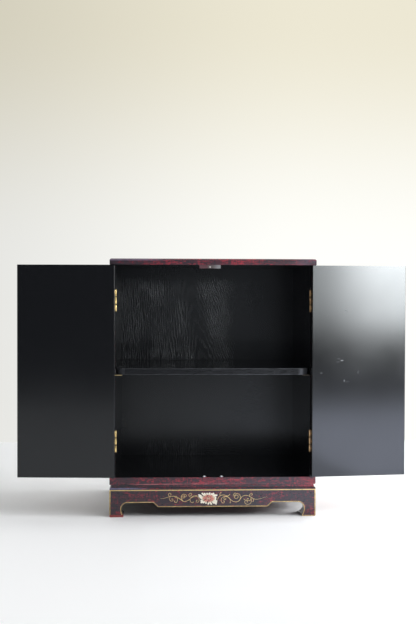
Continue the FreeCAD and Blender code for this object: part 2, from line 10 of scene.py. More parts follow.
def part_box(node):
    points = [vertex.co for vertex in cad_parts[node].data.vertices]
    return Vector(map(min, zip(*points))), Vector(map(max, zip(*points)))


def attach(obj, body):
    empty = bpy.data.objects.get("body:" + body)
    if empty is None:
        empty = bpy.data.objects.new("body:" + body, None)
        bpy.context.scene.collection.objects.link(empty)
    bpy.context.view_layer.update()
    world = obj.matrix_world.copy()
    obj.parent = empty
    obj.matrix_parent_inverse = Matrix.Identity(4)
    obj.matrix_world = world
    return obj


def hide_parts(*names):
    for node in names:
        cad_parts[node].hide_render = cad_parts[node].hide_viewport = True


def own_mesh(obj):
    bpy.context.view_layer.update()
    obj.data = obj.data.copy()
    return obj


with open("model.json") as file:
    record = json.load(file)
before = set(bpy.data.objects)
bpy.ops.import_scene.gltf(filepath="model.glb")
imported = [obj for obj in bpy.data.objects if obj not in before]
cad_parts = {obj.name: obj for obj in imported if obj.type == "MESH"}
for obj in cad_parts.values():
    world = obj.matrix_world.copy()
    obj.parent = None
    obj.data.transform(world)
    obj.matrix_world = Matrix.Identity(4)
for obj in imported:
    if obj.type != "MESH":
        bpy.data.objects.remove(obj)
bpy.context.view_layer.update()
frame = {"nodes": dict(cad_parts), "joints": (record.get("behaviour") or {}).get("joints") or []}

bl_info = {
    "name": "Lacquered Cabinet on Stand",
    "version": (1, 0, 0),
    "blender": (4, 5, 0),
    "location": "View3D > Sidebar > Cabinet",
    "description": "Lacquers, gilds and lights a two-door cabinet on its stand",
    "category": "Object",
}

# ---- places taken from the frame
BASE_LOW, BASE_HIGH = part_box("base_panel")
FRONT, BACK = BASE_LOW.y, BASE_HIGH.y
HALF_W, FLOOR_Z = BASE_HIGH.x, BASE_HIGH.z
CEILING_Z, TOP_Z = (corner.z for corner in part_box("top_panel"))
SIDE_IN, SIDE_OUT = (corner.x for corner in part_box("right_side_panel"))
BACK_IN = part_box("back_panel")[0].y
STAND_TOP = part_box("stand_front_rail")[1].z
SHELF_Z = sum(corner.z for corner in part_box("shelf")) / 2
JOINTS = {joint["name"]: joint for joint in frame["joints"]}
SIDES = {"left": -1, "right": 1}

MM = 0.001               # a millimetre
SKIN = 0.0004            # depth of a coat of lacquer, for telling one face from the next
SEAT = 0.00005           # raised work is let into the lacquer by this
RUBBED_BACK = 0.08       # how far the front left foot is rubbed behind the front
SPRING_TURNS = 5
TURN_STEPS = 24          # facets in a turn of a spring
UPRIGHT = (math.pi / 2, 0, 0)      # turns a flat shape up to face forward
FORWARD = Vector((0, -1, 0))


def door_turn(side):
    """The matrix that takes a place on a shut door to where the door stands at rest."""
    joint = JOINTS[f"{side}_door_hinge"]
    pivot = Matrix.Translation(joint["pos_m"])
    turn = Matrix.Rotation(-math.radians(joint["range_deg"][1]), 4, Vector(joint["axis"]))
    return pivot @ turn @ pivot.inverted()


def shut_box(side):
    """Lowest and highest corner of a door slab when it is shut."""
    back = door_turn(side).inverted()
    corners = [back @ v.co for v in frame["nodes"][f"{side}_door_panel"].data.vertices]
    return [Vector(end(c[i] for c in corners) for i in range(3)) for end in (min, max)]


# ---- settings
def number(name, description, default, **settings):
    """A plain number, or one with a unit or subtype."""
    return bpy.props.FloatProperty(name=name, description=description, default=default, **settings)


def length(name, description, default):
    """A length in metres."""
    return number(name, description, default, unit="LENGTH", precision=5)


def angle(name, description, degrees):
    """An angle, given in degrees."""
    return number(name, description, math.radians(degrees), subtype="ANGLE")


def colour(name, description, *default):
    """An opaque colour, given as red, green and blue."""
    return bpy.props.FloatVectorProperty(name=name, description=description, subtype="COLOR", size=4,
                                         min=0.0, max=1.0, default=(*default, 1.0))


class CabinetFinish(bpy.types.PropertyGroup):
    """Colours and small sizes of the decoration."""

    crimson: colour("Crimson", "Bright patches of the mottled lacquer", 0.36, 0.028, 0.046)
    wine: colour("Wine", "Middle tone of the mottled lacquer", 0.10, 0.016, 0.028)
    charcoal: colour("Charcoal", "Dark ground of the mottled lacquer", 0.027, 0.0195, 0.027)
    worn_red: colour("Worn Red", "Undercoat that shows where a foot is rubbed", 0.25, 0.04, 0.037)
    black: colour("Black", "Lacquer inside the case and on the doors' inner faces", 0.0035, 0.0036, 0.0042)
    dust: colour("Dust", "Scuffs on the black lacquer", 0.34, 0.35, 0.37)
    gold: colour("Gold", "Gold paint", 0.69, 0.51, 0.22)
    gold_shade: colour("Gold Shade", "Gold paint where the brush ran thin", 0.30, 0.19, 0.095)
    ivory: colour("Ivory", "Tips of the petals", 0.92, 0.88, 0.76)
    beige: colour("Beige", "Middle of the petals", 0.64, 0.49, 0.35)
    salmon: colour("Salmon", "Ring round the heart of a flower", 0.68, 0.25, 0.205)
    brass: colour("Brass", "Hinges, pulls, strikes and small screws", 0.80, 0.60, 0.26)
    patina: colour("Patina", "Tarnish in the hollows of the brass", 0.30, 0.17, 0.06)
    steel: colour("Steel", "Barrels, springs, pins and stand screws", 0.72, 0.73, 0.76)
    stain: colour("Stain", "Tarnish on the steel", 0.42, 0.36, 0.38)
    oak: colour("Bare Wood", "Dowels", 0.40, 0.25, 0.13)
    worn_height: length("Worn Height", "Height to which the front left foot is rubbed", 0.0068)
    line_width: length("Line Width", "Width of a gold line on the stand", 0.0026)
    line_margin: length("Line Margin", "Lacquer left between a gold line and the edge", 0.0003)
    line_rise: length("Line Rise", "Height of a gold line above the lacquer", 0.00035)
    top_line_drop: length("Top Line Drop", "Top of the stand to the upper gold line", 0.0055)
    border_inset: length("Border Inset", "Edge of a door or side to its gold border", 0.016)
    border_width: length("Border Width", "Width of the gold border on doors and sides", 0.0026)
    stem: length("Stem", "Half width of a painted stem", 0.0009)
    spring_wire: length("Spring Wire", "Half the thickness of the wire in a catch spring", 0.00035)
    petal_rise: length("Petal Rise", "Height of a petal above the lacquer", 0.0009)


class CabinetStage(bpy.types.PropertyGroup):
    """Camera, lamps and surroundings."""

    eye: bpy.props.FloatVectorProperty(name="Eye", description="Place of the camera", unit="LENGTH",
                                       default=(-0.1371, -3.0257, 0.659))
    yaw: angle("Yaw", "Camera turned to the right of straight ahead", 2.445)
    pitch: angle("Pitch", "Camera tilted up", -1.088)
    roll: angle("Roll", "Camera rolled", 0.158)
    lens: number("Lens", "Focal length", 55.6, unit="CAMERA")
    wall: length("Wall", "Distance of the wall behind the origin", 1.26)
    key: number("Window", "Brightness of the window in the shine", 33.0)
    glow: number("Bright Floor", "Brightness of the floor in the shine", 4.8)
    slant: number("High Window", "Power of the light from high on the right", 58.0)
    beside: number("Side Window", "Power of the window on the right", 340.0)
    ceiling: number("Ceiling", "Power of the light overhead", 27.0)
    fill: number("Fill", "Brightness of the room as it lights the object", 0.18, min=0.0, max=2.0)
    floor: colour("Floor", "Colour of the floor", 0.88, 0.893, 0.915)
    wall_low: colour("Wall Low", "Colour of the wall behind the cabinet", 0.965, 0.965, 0.93)
    wall_high: colour("Wall High", "Colour of the wall above", 0.80, 0.76, 0.62)


# ---- shaders
def arithmetic(operation):
    """A method that joins a wire and another value in a Math node."""
    return lambda self, other: self.math(operation, other)


class Wire:
    """One output of a shader node; arithmetic on it adds Math nodes, and | takes the larger value."""

    def __init__(self, finish, socket):
        self.finish = finish
        self.socket = socket

    def out(self, name):
        """Another output of the same node."""
        return Wire(self.finish, self.socket.node.outputs[name])

    def math(self, operation, *others):
        """A Math node on this wire and the others."""
        return self.finish.math(operation, self, *others)

    def __rsub__(self, other):
        return self.finish.math("SUBTRACT", other, self)

    def __abs__(self):
        return self.math("ABSOLUTE")

    __add__ = __radd__ = arithmetic("ADD")
    __mul__ = __rmul__ = arithmetic("MULTIPLY")
    __sub__ = arithmetic("SUBTRACT")
    __pow__ = arithmetic("POWER")
    __or__ = __ror__ = arithmetic("MAXIMUM")
    __gt__ = arithmetic("GREATER_THAN")
    __lt__ = arithmetic("LESS_THAN")


class Finish:
    """A node material under construction."""

    def __init__(self, name, world=None):
        self.material = world or bpy.data.materials.new(name)
        self.material.use_nodes = True
        self.nodes = self.material.node_tree.nodes
        self.links = self.material.node_tree.links
        self.nodes.clear()
        self.place = self.add("ShaderNodeTexCoord", output="Object")

    def add(self, kind, inputs=None, output=0, **settings):
        """Make one node from its settings, set first, and the values or wires of its inputs."""
        node = self.nodes.new(kind)
        for key, value in settings.items():
            if key == "stops":
                set_stops(node.color_ramp, value)
            else:
                setattr(node, key, value)
        for key, value in (inputs or {}).items():
            if isinstance(value, Wire):
                self.links.new(value.socket, node.inputs[key])
            else:
                node.inputs[key].default_value = value
        return Wire(self, node.outputs[output]) if node.outputs else None

    def math(self, operation, *values):
        """One Math node on numbers or wires."""
        return self.add("ShaderNodeMath", dict(enumerate(values)), operation=operation)

    def mapped(self, scale=(1, 1, 1), turn=(0, 0, 0), shift=(0, 0, 0)):
        """The place, stretched, turned and moved."""
        return self.add("ShaderNodeMapping",
                        {"Vector": self.place, "Scale": scale, "Rotation": turn, "Location": shift})

    def axes(self, place=None):
        """The three parts of a place."""
        parts = self.add("ShaderNodeSeparateXYZ", {0: place or self.place})
        return [parts.out(name) for name in "XYZ"]

    def noise(self, scale, detail=3.0, roughness=0.5, distortion=0.0, shift=(0, 0, 0)):
        """Noise in cells a metre, along all axes alike or along each."""
        where = self.mapped(scale if isinstance(scale, tuple) else (scale,) * 3, shift=shift)
        return self.add("ShaderNodeTexNoise", {"Vector": where, "Scale": 1.0, "Detail": detail,
                                               "Roughness": roughness, "Distortion": distortion})

    def ramp(self, value, low, high, bottom=0.0, top=1.0):
        """A smooth rise from one level to another."""
        return self.add("ShaderNodeMapRange", {0: value, 1: low, 2: high, 3: bottom, 4: top},
                        interpolation_type="SMOOTHSTEP")

    def mix(self, factor, first, second, blend="MIX"):
        """Blend two colours."""
        return self.add("ShaderNodeMix", {0: factor, 6: first, 7: second}, 2, data_type="RGBA",
                        blend_type=blend)

    def blend(self, factor, first, second):
        """Blend two numbers."""
        return self.add("ShaderNodeMix", {0: factor, 2: first, 3: second}, data_type="FLOAT")

    def over(self, factor, under, upper):
        """One coat over another; a coat is its colour, roughness and height."""
        return (self.mix(factor, under[0], upper[0]), self.blend(factor, under[1], upper[1]),
                self.blend(factor, under[2], upper[2]))

    def glow(self, tone, strength=1.0):
        """A shader that shines by itself."""
        return self.add("ShaderNodeEmission", {"Color": tone, "Strength": strength})

    def either(self, factor, first, second):
        """One shader or the other, by a mask."""
        return self.add("ShaderNodeMixShader", {0: factor, 1: first, 2: second})

    def surface(self, shader):
        """End the material in any shader."""
        self.add("ShaderNodeOutputMaterial", {"Surface": shader})
        return self.material

    def close(self, base, roughness, height, depth, **constants):
        """End the material in a Principled shader with a bump of some depth."""
        bump = self.add("ShaderNodeBump", {"Height": height, "Strength": 1.0, "Distance": depth})
        inputs = {"Base Color": base, "Roughness": roughness, "Normal": bump}
        inputs.update({key.replace("_", " "): value for key, value in constants.items()})
        return self.surface(self.add("ShaderNodeBsdfPrincipled", inputs))

    def varnish(self, coat, depth=0.00006):
        """End the material under clear lacquer, whose shine has a cool cast."""
        return self.close(*coat, depth, IOR=1.5, Specular_Tint=(0.91, 0.955, 1.0, 1.0))


def set_stops(ramp, stops):
    """Give a colour ramp its stops, as (position, colour) pairs."""
    while len(ramp.elements) < len(stops):
        ramp.elements.new(1.0)
    for element, (position, value) in zip(ramp.elements, stops):
        element.position = position
        element.color = value


def mottled(f, look, stretch=1.0, thick=0.0):
    """Torn crimson patches over charcoal, drawn out sideways: colour, roughness and height.

    The thicker the charcoal lies, the fewer patches show."""
    broad = f.noise((46 / stretch, 46 / stretch, 125), 6.0, 0.68, 1.2)
    flecks = f.noise((170 / stretch, 170 / stretch, 380), 3.0, 0.6, 0.6, shift=(3, 5, 7))
    strokes = f.noise((300, 300, 50), 3.0, 0.6, 0.8, shift=(5, 2, 1))
    cloud = f.noise((8, 8, 15), 2.0, 0.5, shift=(11.2, 6, 3.3))
    body = broad * 0.48 + flecks * 0.27 + strokes * 0.25 + (cloud - 0.5) * 0.24
    ground = f.mix(f.ramp(body, 0.45 + thick, 0.57 + thick), look.charcoal, look.wine)
    base = f.mix(f.ramp(body, 0.52 + thick, 0.60 + thick, 0.0, 0.95), ground, look.crimson)
    base = f.mix(f.ramp(flecks, 0.53, 0.68, 0.0, 0.45), base, look.charcoal)
    return base, f.ramp(flecks, 0.3, 0.7, 0.27, 0.38), body * 0.7 + flecks * 0.3


def scuffed(f, scuffs):
    """How much each place is scuffed; every scuff is x, z, half length, half height and strength."""
    x, _, z = f.axes()
    torn = f.noise(700, 2.0, 0.6)
    total = torn * 0.0
    for middle, level, long, high, strength in scuffs:
        off = ((x - middle) * (1 / long)) ** 2.0 + ((z - level) * (1 / high)) ** 2.0
        total = total + f.ramp(off + (torn - 0.5) * 1.6, 1.0, 0.3, 0.0, strength)
    return total


def black_coat(f, look, scuffs=0.0):
    """Satin black lacquer with faint brushing and a little dust: colour, roughness and height."""
    cloud = f.noise(5, 3.0, 0.55)
    brushed = f.noise((30, 30, 700), 3.0, 0.6)
    cells = f.add("ShaderNodeTexVoronoi", {"Vector": f.mapped((16, 16, 20)), "Scale": 1.0}, feature="F1")
    speck = f.ramp(cells, 0.035, 0.015) * (f.axes(cells.out("Color"))[0] > 0.62)
    marks = (speck * 0.3 + scuffs).math("MINIMUM", 1.0)
    rough = f.ramp(cloud, 0.25, 0.75, 0.135, 0.18) + marks * 0.3 + (brushed - 0.5) * 0.03
    return f.mix(marks, look.black, look.dust), rough, brushed * 0.15 + cloud * 0.85


def two_coats(name, look, is_black, place=None, stretch=1.0, thick=None, scuffs=(), edge=None):
    """A board that is mottled on its outer faces and black where the mask says so.

    A painted highlight may be laid along an edge, which is given as how far and to what colour."""
    f = Finish(name)
    marks = scuffed(f, scuffs) if scuffs else 0.0
    if place is not None:
        f.place = f.mapped(**place)
    outer = mottled(f, look, stretch, thick(f) if thick else 0.0)
    if edge:
        # the painted highlight along the edge, in the colour that the edge gives
        rubbed, bare = edge(f)
        outer = (f.mix(rubbed, outer[0], bare), *outer[1:])
    return f.varnish(f.over(is_black(f), outer, black_coat(f, look, marks)))


def under_top(f):
    """One on the top board's underside within the case."""
    x, y, z = f.axes()
    return (z < CEILING_Z + SKIN) * (abs(x) < SIDE_IN) * (y > FRONT + 2 * SKIN)


def case_floor(f):
    """One on the base board's upper face within the case."""
    x, _, z = f.axes()
    return (z > FLOOR_Z - SKIN) * (abs(x) < SIDE_IN)


def inner_wall(f):
    """One on the sides everywhere but on their outer faces."""
    return abs(f.axes()[0]) < SIDE_OUT - 2 * SKIN


def thin_on_the_right(f):
    """The charcoal thins towards the right of the base board."""
    return f.ramp(f.axes()[0], -0.1, 0.25, -0.004, -0.032)


def thick_on_the_left(f):
    """The charcoal is thick at the left end of the top board's front."""
    x, y, _ = f.axes()
    return f.ramp(x, -0.17, -0.27, 0.0, 0.055) * f.ramp(y, FRONT + 0.009, FRONT + 0.004)


def upper_edge_highlight(f):
    """A painted lavender highlight along the top board's upper edge to the left and over its right end."""
    x, y, z = f.axes()
    # Painted highlight: the pale sheen along the upper edge to the left and over the right end.
    left = f.ramp(z, TOP_Z - 0.0078, TOP_Z - 0.0050) * f.ramp(x, -0.11, -0.22, 0.0, 0.9)
    rag = f.ramp(f.noise(60, 3.0, 0.6), 0.3, 0.55, 0.6, 1.0)
    rubbed = (left + f.ramp(x, 0.22, 0.28, 0.0, 0.45)) * rag
    return rubbed * (y < FRONT + 0.008), (0.13, 0.095, 0.145, 1.0)


def lower_edge_highlight(f):
    """A painted highlight, pale red, along the base board's lower front edge."""
    x, y, z = f.axes()
    along = f.ramp(x, -0.26, -0.2) * f.ramp(x, 0.13, -0.02, 0.2, 1.0)
    rag = f.ramp(f.noise(60, 3.0, 0.6), 0.38, 0.58, 0.3, 0.9)
    # Painted highlight along the lower front edge, strongest from the left end to the middle.
    rubbed = f.ramp(z, BASE_LOW.z + 0.0036, BASE_LOW.z + 0.0024) * rag * along
    return rubbed * (y < FRONT + 0.003), (0.50, 0.17, 0.19, 1.0)


def stand_coats(name, look):
    """The stand: mottled outside and black within.

    The front left foot is rubbed to its red undercoat, and a pale lavender highlight is painted along the
    top edge to the left."""
    f = Finish(name)
    x, y, z = f.axes()
    outer = mottled(f, look, thick=f.ramp(x, -0.16, -0.28, 0.010, 0.026))
    outside = (y < FRONT + 2 * SKIN) | (abs(x) > HALF_W - 2 * SKIN) | (z > STAND_TOP - 0.0035)
    base, rough, height = f.over(1.0 - outside, outer, black_coat(f, look))
    rag = f.noise(160, 3.0, 0.6)
    low = f.ramp(z + (rag - 0.5) * 0.003, look.worn_height + 0.0008, look.worn_height)
    rubbed = low * (x < -0.25) * (y < FRONT + RUBBED_BACK)
    base = f.mix(rubbed * f.ramp(rag, 0.28, 0.42), base, look.worn_red)
    # Painted highlight: a pale lavender line along the stand's top front edge, to the left.
    pale = f.ramp(z, STAND_TOP - 0.0046, STAND_TOP - 0.0036) * f.ramp(x, -0.17, -0.26) * (y < FRONT + 0.004)
    base = f.mix(pale * f.ramp(rag, 0.3, 0.6, 0.5, 1.0), base, (0.17, 0.165, 0.27, 1.0))
    return f.varnish((base, f.blend(rubbed, rough, 0.55), height))


def shaded_cove(name, look):
    """The cove between case and stand, with painted shade: more charcoal towards the left, less towards the
    right.
    """
    f = Finish(name)
    x = f.axes()[0]
    # Painted shade of the recess under the case: darker towards the left, lighter towards the right.
    base, rough, height = mottled(f, look, 1.6, f.ramp(x, -0.15, 0.25, 0.012, -0.045))
    base = f.mix(f.ramp(x, -0.15, 0.1, 0.25, 0.0), base, look.charcoal)
    return f.varnish((base, rough, height))


def black_lacquer(name, look):
    """The leg blocks, black all over."""
    f = Finish(name)
    return f.varnish(black_coat(f, look), 0.00004)


def grained_black(name, look):
    """Black paint over an open-grained veneer, whose leaning arches show in the upper part."""
    f = Finish(name)
    base, rough, flat = black_coat(f, look)
    x, y, z = f.axes()
    depth = 0.725 - z                   # below the point of the arches, whose middle leans as it falls
    sway = f.noise((14, 14, 6), 3.0, 0.6)
    across = x + 0.068 - depth * 0.19 + (sway - 0.5) * 0.03
    spread = (across * across + 0.0009).math("SQRT")
    ripple = f.noise((90, 90, 24), 3.0, 0.6, shift=(6, 0, 2))
    rings = (spread * 900.0 - depth * 120.0 + (ripple - 0.5) * 5.0).math("SINE")
    pores = f.noise((640, 640, 30), 4.0, 0.72)
    lines = f.ramp(rings * 0.6 + (pores - 0.5) * 5.0, -0.4, 1.3)
    bare = f.ramp(f.noise((14, 14, 9), 2.0, 0.5, shift=(1, 1, 7)), 0.36, 0.58, 0.6, 1.0)
    upper = f.ramp(z, 0.43, 0.445) * f.ramp(z, 0.722, 0.682, 0.12, 1.0) * f.ramp(x, 0.045, 0.11, 1.0, 0.1)
    foot = f.ramp(z, 0.185, 0.15, 0.05, 0.6) * f.ramp(x, 0.0, -0.04) * f.ramp(x, -0.23, -0.19) * (z < 0.43)
    grain = (upper + foot) * bare * f.ramp(abs(across), 0.0, 0.055, 0.45, 1.0) * (y < BACK_IN + SKIN)
    base = f.mix(grain * lines, base, (0.015, 0.016, 0.019, 1.0))
    rough = rough + f.blend(grain, 0.10, lines * 0.10 + 0.10)
    return f.varnish((base, rough, flat * 0.1 - lines * grain), 0.00016)


def shelf_painted_highlights(name, look):
    """Black lacquer with painted highlights along the shelf's front edges, lighter to the right, and at its
    front corners, most at the right-hand one.
    """
    f = Finish(name)
    base, rough, height = black_coat(f, look)
    low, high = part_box("shelf")
    x, y, z = f.axes()
    half = (high.z - low.z) / 2
    worn = f.ramp(f.noise((30, 30, 200), 4.0, 0.65), 0.36, 0.56, 0.25, 1.0)
    arris = f.ramp(abs(z - SHELF_Z), half - 0.0026, half - 0.0012, 0.16, 0.7) * (y < low.y + SKIN)
    corner = f.ramp(x, high.x - 0.036, high.x - 0.022) * f.ramp(y, low.y + 0.016, low.y + 0.008)
    other = f.ramp(x, low.x + 0.030, low.x + 0.016) * f.ramp(y, low.y + 0.022, low.y + 0.012)
    # Painted highlights: the front face, most along its upper and lower arrises and lighter to the right,
    # the right-hand front corner and, faintly, the left one.
    rubbed = arris * worn * f.ramp(x, -0.25, 0.25, 0.4, 1.0) + corner * 0.8 + other * 0.22
    base = f.mix(rubbed, base, (0.10, 0.105, 0.12, 1.0))
    return f.varnish((base, rough + rubbed * 0.15, height), 0.00004)


def metal(name, bright, dull, low, high, scale=240, metallic=1.0):
    """A polished metal with tarnish in soft clouds and fine wiping marks."""
    f = Finish(name)
    cloud = f.noise(70, 4.0, 0.6)
    wiped = f.noise((scale, scale, scale * 5), 2.0, 0.6, shift=(4, 4, 4))
    base = f.mix(f.ramp(cloud, 0.5, 0.72, 0.0, 0.55), bright, dull)
    rough = f.ramp(cloud * 0.6 + wiped * 0.4, 0.35, 0.65, low, high)
    return f.close(base, rough, wiped, 0.00002, Metallic=metallic)


def hinge_brass(name, look, node):
    """Knuckles rubbed bright and dark in their joints; the leaves are painted over with the boards."""
    f = Finish(name)
    low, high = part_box(node)
    pivot = JOINTS["right_door_hinge"]["pos_m"]
    x, y, z = f.axes()
    off, away = abs(x) - pivot[0], y - pivot[1]
    leaf = f.ramp((off * off + away * away).math("SQRT"), 0.0031, 0.0033)
    share = ((z - low.z) * (3.0 / (high.z - low.z))).math("FRACT")
    groove = f.ramp(abs(share - 0.5), 0.31, 0.43)
    cloud = f.noise((160, 160, 90), 4.0, 0.6)
    tarnish = (f.ramp(cloud, 0.42, 0.64, 0.0, 0.5) + f.ramp(x, -0.1, 0.1, 0.0, 0.25)) | groove * 0.93
    bright = f.mix(f.ramp(x, -0.1, 0.1), look.brass, (0.88, 0.56, 0.30, 1.0))
    base = f.mix(leaf, f.mix(tarnish, bright, (0.07, 0.042, 0.018, 1.0)), look.black)
    rough = f.blend(leaf, f.ramp(cloud, 0.35, 0.65, 0.26, 0.40), 0.3)
    return f.close(base, rough, cloud, 0.00002, Metallic=1.0 - leaf, IOR=1.5)


def stop_steel(name):
    """The stop plate: a painted dusky pink reflection to the left, plating brighter to the right, and a
    painted highlight on the stud.
    """
    f = Finish(name)
    x, y, _ = f.axes()
    cloud = f.noise((24, 300, 300), 3.0, 0.6)
    pink_reflection = f.ramp(x + (cloud - 0.5) * 0.004, -0.014, -0.018)
    base = f.mix(f.ramp(x, -0.004, 0.018), (0.17, 0.145, 0.14, 1.0), (0.40, 0.39, 0.40, 1.0))
    # Painted reflection: dusky pink on the left of the plate.
    base = f.mix(pink_reflection, base, (0.14, 0.072, 0.082, 1.0))
    # Painted highlight on the stud's foremost faces.
    base = f.mix(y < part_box("door_stop")[0].y + SKIN, base, (0.80, 0.72, 0.70, 1.0))
    rough = f.blend(pink_reflection, f.ramp(cloud, 0.3, 0.7, 0.3, 0.4), 0.5)
    return f.close(base, rough, cloud, 0.000008, Metallic=0.9)


def bare_wood(name, look):
    """Unpainted hardwood with fine rays."""
    f = Finish(name)
    rays = f.noise((240, 240, 9), 4.0, 0.6, 0.4)
    base = f.mix(f.ramp(rays, 0.35, 0.68), look.oak, (0.22, 0.12, 0.06, 1.0))
    return f.close(base, f.ramp(rays, 0.3, 0.7, 0.55, 0.75), rays, 0.0002)


def gold_paint(name, look, low=0.0):
    """Gold paint laid on with a brush, thin in places and below a level."""
    f = Finish(name)
    thin = f.noise(120, 4.0, 0.65)
    fine = f.noise(1500, 2.0, 0.5)
    rubbed = f.ramp(f.axes()[2], low + 0.012, low - 0.004, 0.0, 0.16)
    base = f.mix(f.ramp(thin + rubbed, 0.5, 0.72, 0.0, 0.75), look.gold, look.gold_shade)
    return f.close(base, f.ramp(thin, 0.3, 0.7, 0.34, 0.52), thin * 0.6 + fine * 0.4, 0.00008,
                   Metallic=0.2, IOR=1.45)


def petal_paint(name, look):
    """Ivory petals, beige further in, with a salmon ring round the flower's heart."""
    f = Finish(name)
    heart = f.add("ShaderNodeAttribute", output="Fac", attribute_name="reach")
    brush = f.noise(420, 4.0, 0.65)
    stops = ((0.0, look.beige), (0.14, look.salmon), (0.36, look.salmon), (0.50, look.beige),
             (0.70, look.ivory))
    base = f.add("ShaderNodeValToRGB", {0: heart + (brush - 0.5) * 0.26}, stops=stops)
    return f.close(base, f.ramp(brush, 0.3, 0.7, 0.42, 0.6), brush, 0.00012, IOR=1.45)


# ---- modelling helpers
def pick(*chosen):
    """Select these objects alone, the first one active."""
    bpy.ops.object.select_all(action="DESELECT")
    for item in chosen:
        item.select_set(True)
    bpy.context.view_layer.objects.active = chosen[0]


def primitive(kind, name, scale=(1, 1, 1), **settings):
    """Add a primitive at its size and place, and settle that place in its mesh."""
    bpy.ops.object.select_all(action="DESELECT")
    getattr(bpy.ops.mesh, f"primitive_{kind}_add")(**settings)
    item = bpy.context.object
    item.name = name
    item.scale = scale
    bpy.ops.object.transform_apply(location=True, rotation=True, scale=True)
    return item


def rectangle(name, centre, size, turn):
    """A flat rectangle of a width and a height."""
    return primitive("plane", name, (*size, 1.0), size=1.0, location=centre, rotation=turn)


def edit(item, wanted=None):
    """Enter edit mode on one object with the wanted faces selected, or all of them."""
    pick(item)
    bpy.ops.object.mode_set(mode="EDIT")
    bpy.ops.mesh.select_mode(type="FACE")
    bpy.ops.mesh.select_all(action="SELECT" if wanted is None else "DESELECT")
    if wanted is not None:
        bpy.ops.object.mode_set(mode="OBJECT")
        for face in item.data.polygons:
            face.select = wanted(face)
        bpy.ops.object.mode_set(mode="EDIT")


def choose_points(item, wanted):
    """Select the points of a mesh in edit mode that satisfy a test."""
    bpy.ops.mesh.select_mode(type="VERT")
    bpy.ops.mesh.select_all(action="DESELECT")
    bpy.ops.object.mode_set(mode="OBJECT")
    for point in item.data.vertices:
        point.select = wanted(point.co)
    bpy.ops.object.mode_set(mode="EDIT")


def keep_rest():
    """Delete the selected faces in edit mode and select what is left."""
    bpy.ops.mesh.delete(type="FACE")
    bpy.ops.mesh.select_all(action="SELECT")


def leave():
    """Go back to object mode."""
    bpy.ops.object.mode_set(mode="OBJECT")


def finish_piece(item, material, body, turn=None):
    """Give a piece its material, settle its place in its mesh and let it ride on a body."""
    item.data.materials.clear()
    item.data.materials.append(material)
    if turn is not None:
        item.matrix_world = turn
    pick(item)
    bpy.ops.object.transform_apply(location=True, rotation=True, scale=True)
    bpy.ops.object.shade_smooth_by_angle(angle=math.radians(40))
    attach(item, body)
    return item


def apply_modifier(item, kind, **settings):
    """Add one modifier and apply it."""
    pick(item)
    modifier = item.modifiers.new(kind.title(), kind)
    for key, value in settings.items():
        setattr(modifier, key, value)
    bpy.ops.object.modifier_apply(modifier=modifier.name)


def raise_line(item, facing, rise):
    """Turn a flat ring in edit mode into a line of paint that stands up from the lacquer."""
    bpy.ops.transform.translate(value=-SEAT * facing)
    leave()
    apply_modifier(item, "SOLIDIFY", thickness=rise + SEAT, offset=1.0, use_even_offset=True)
    apply_modifier(item, "BEVEL", width=rise * 0.6, segments=2, limit_method="ANGLE",
                   angle_limit=math.radians(50))
    return item


def traced_line(node, name, facing, look, top, worn):
    """A gold line that follows the outline of one flat face of a rail, gone where the paint is worn."""
    item = bpy.data.objects.new(name, frame["nodes"][node].data.copy())
    bpy.context.scene.collection.objects.link(item)
    edit(item)
    bpy.ops.mesh.remove_doubles(threshold=1e-6)
    leave()
    outermost = max(v.co.dot(facing) for v in item.data.vertices)

    def buried(face):
        return face.normal.dot(facing) < 0.999 or face.center.dot(facing) < outermost - SKIN

    edit(item, buried)
    keep_rest()
    bpy.ops.mesh.bisect(plane_co=(0, 0, top), plane_no=(0, 0, 1), clear_outer=True)
    bpy.ops.mesh.select_all(action="SELECT")
    bpy.ops.mesh.dissolve_limited(angle_limit=math.radians(0.5))
    bpy.ops.mesh.select_mode(type="FACE")
    bpy.ops.mesh.select_all(action="SELECT")
    bpy.ops.mesh.inset(thickness=look.line_margin, use_even_offset=True)
    bpy.ops.mesh.select_all(action="INVERT")
    keep_rest()
    bpy.ops.mesh.inset(thickness=look.line_width, use_even_offset=True)
    keep_rest()
    bpy.ops.mesh.bisect(plane_co=(0, 0, look.worn_height), plane_no=(0, 0, 1))
    leave()
    edit(item, lambda face: worn(face.center))
    keep_rest()
    return raise_line(item, facing, look.line_rise)


def border(name, low, high, look):
    """A rectangular gold line, drawn in the plane of the front and facing forward."""
    item = rectangle(name, (low + high) / 2, (high.x - low.x, high.z - low.z), UPRIGHT)
    edit(item)
    bpy.ops.mesh.inset(thickness=look.border_width, use_even_offset=True)
    keep_rest()
    return raise_line(item, FORWARD, look.line_rise)


# ---- painted ornament
def spiral(root, centre, size, turns, hand, bud):
    """Points of a tendril that leaves a stem at its root and winds in around a centre."""
    start = math.atan2(root[1] - centre[1], root[0] - centre[0])
    reach = math.dist(root, centre)
    steps = max(5, round(turns * 7))
    points = []
    for step in range(steps + 1):
        share = step / steps
        radius = size * (1 - 0.45 * share) + (reach - size) * max(0.0, 1 - share * 3.2)
        angle = start + hand * turns * math.tau * share
        thick = 0.72 + (bud - 0.72) * max(0.0, share - 0.8) * 5
        points.append((centre[0] + radius * math.cos(angle), centre[1] + radius * math.sin(angle), thick))
    return points


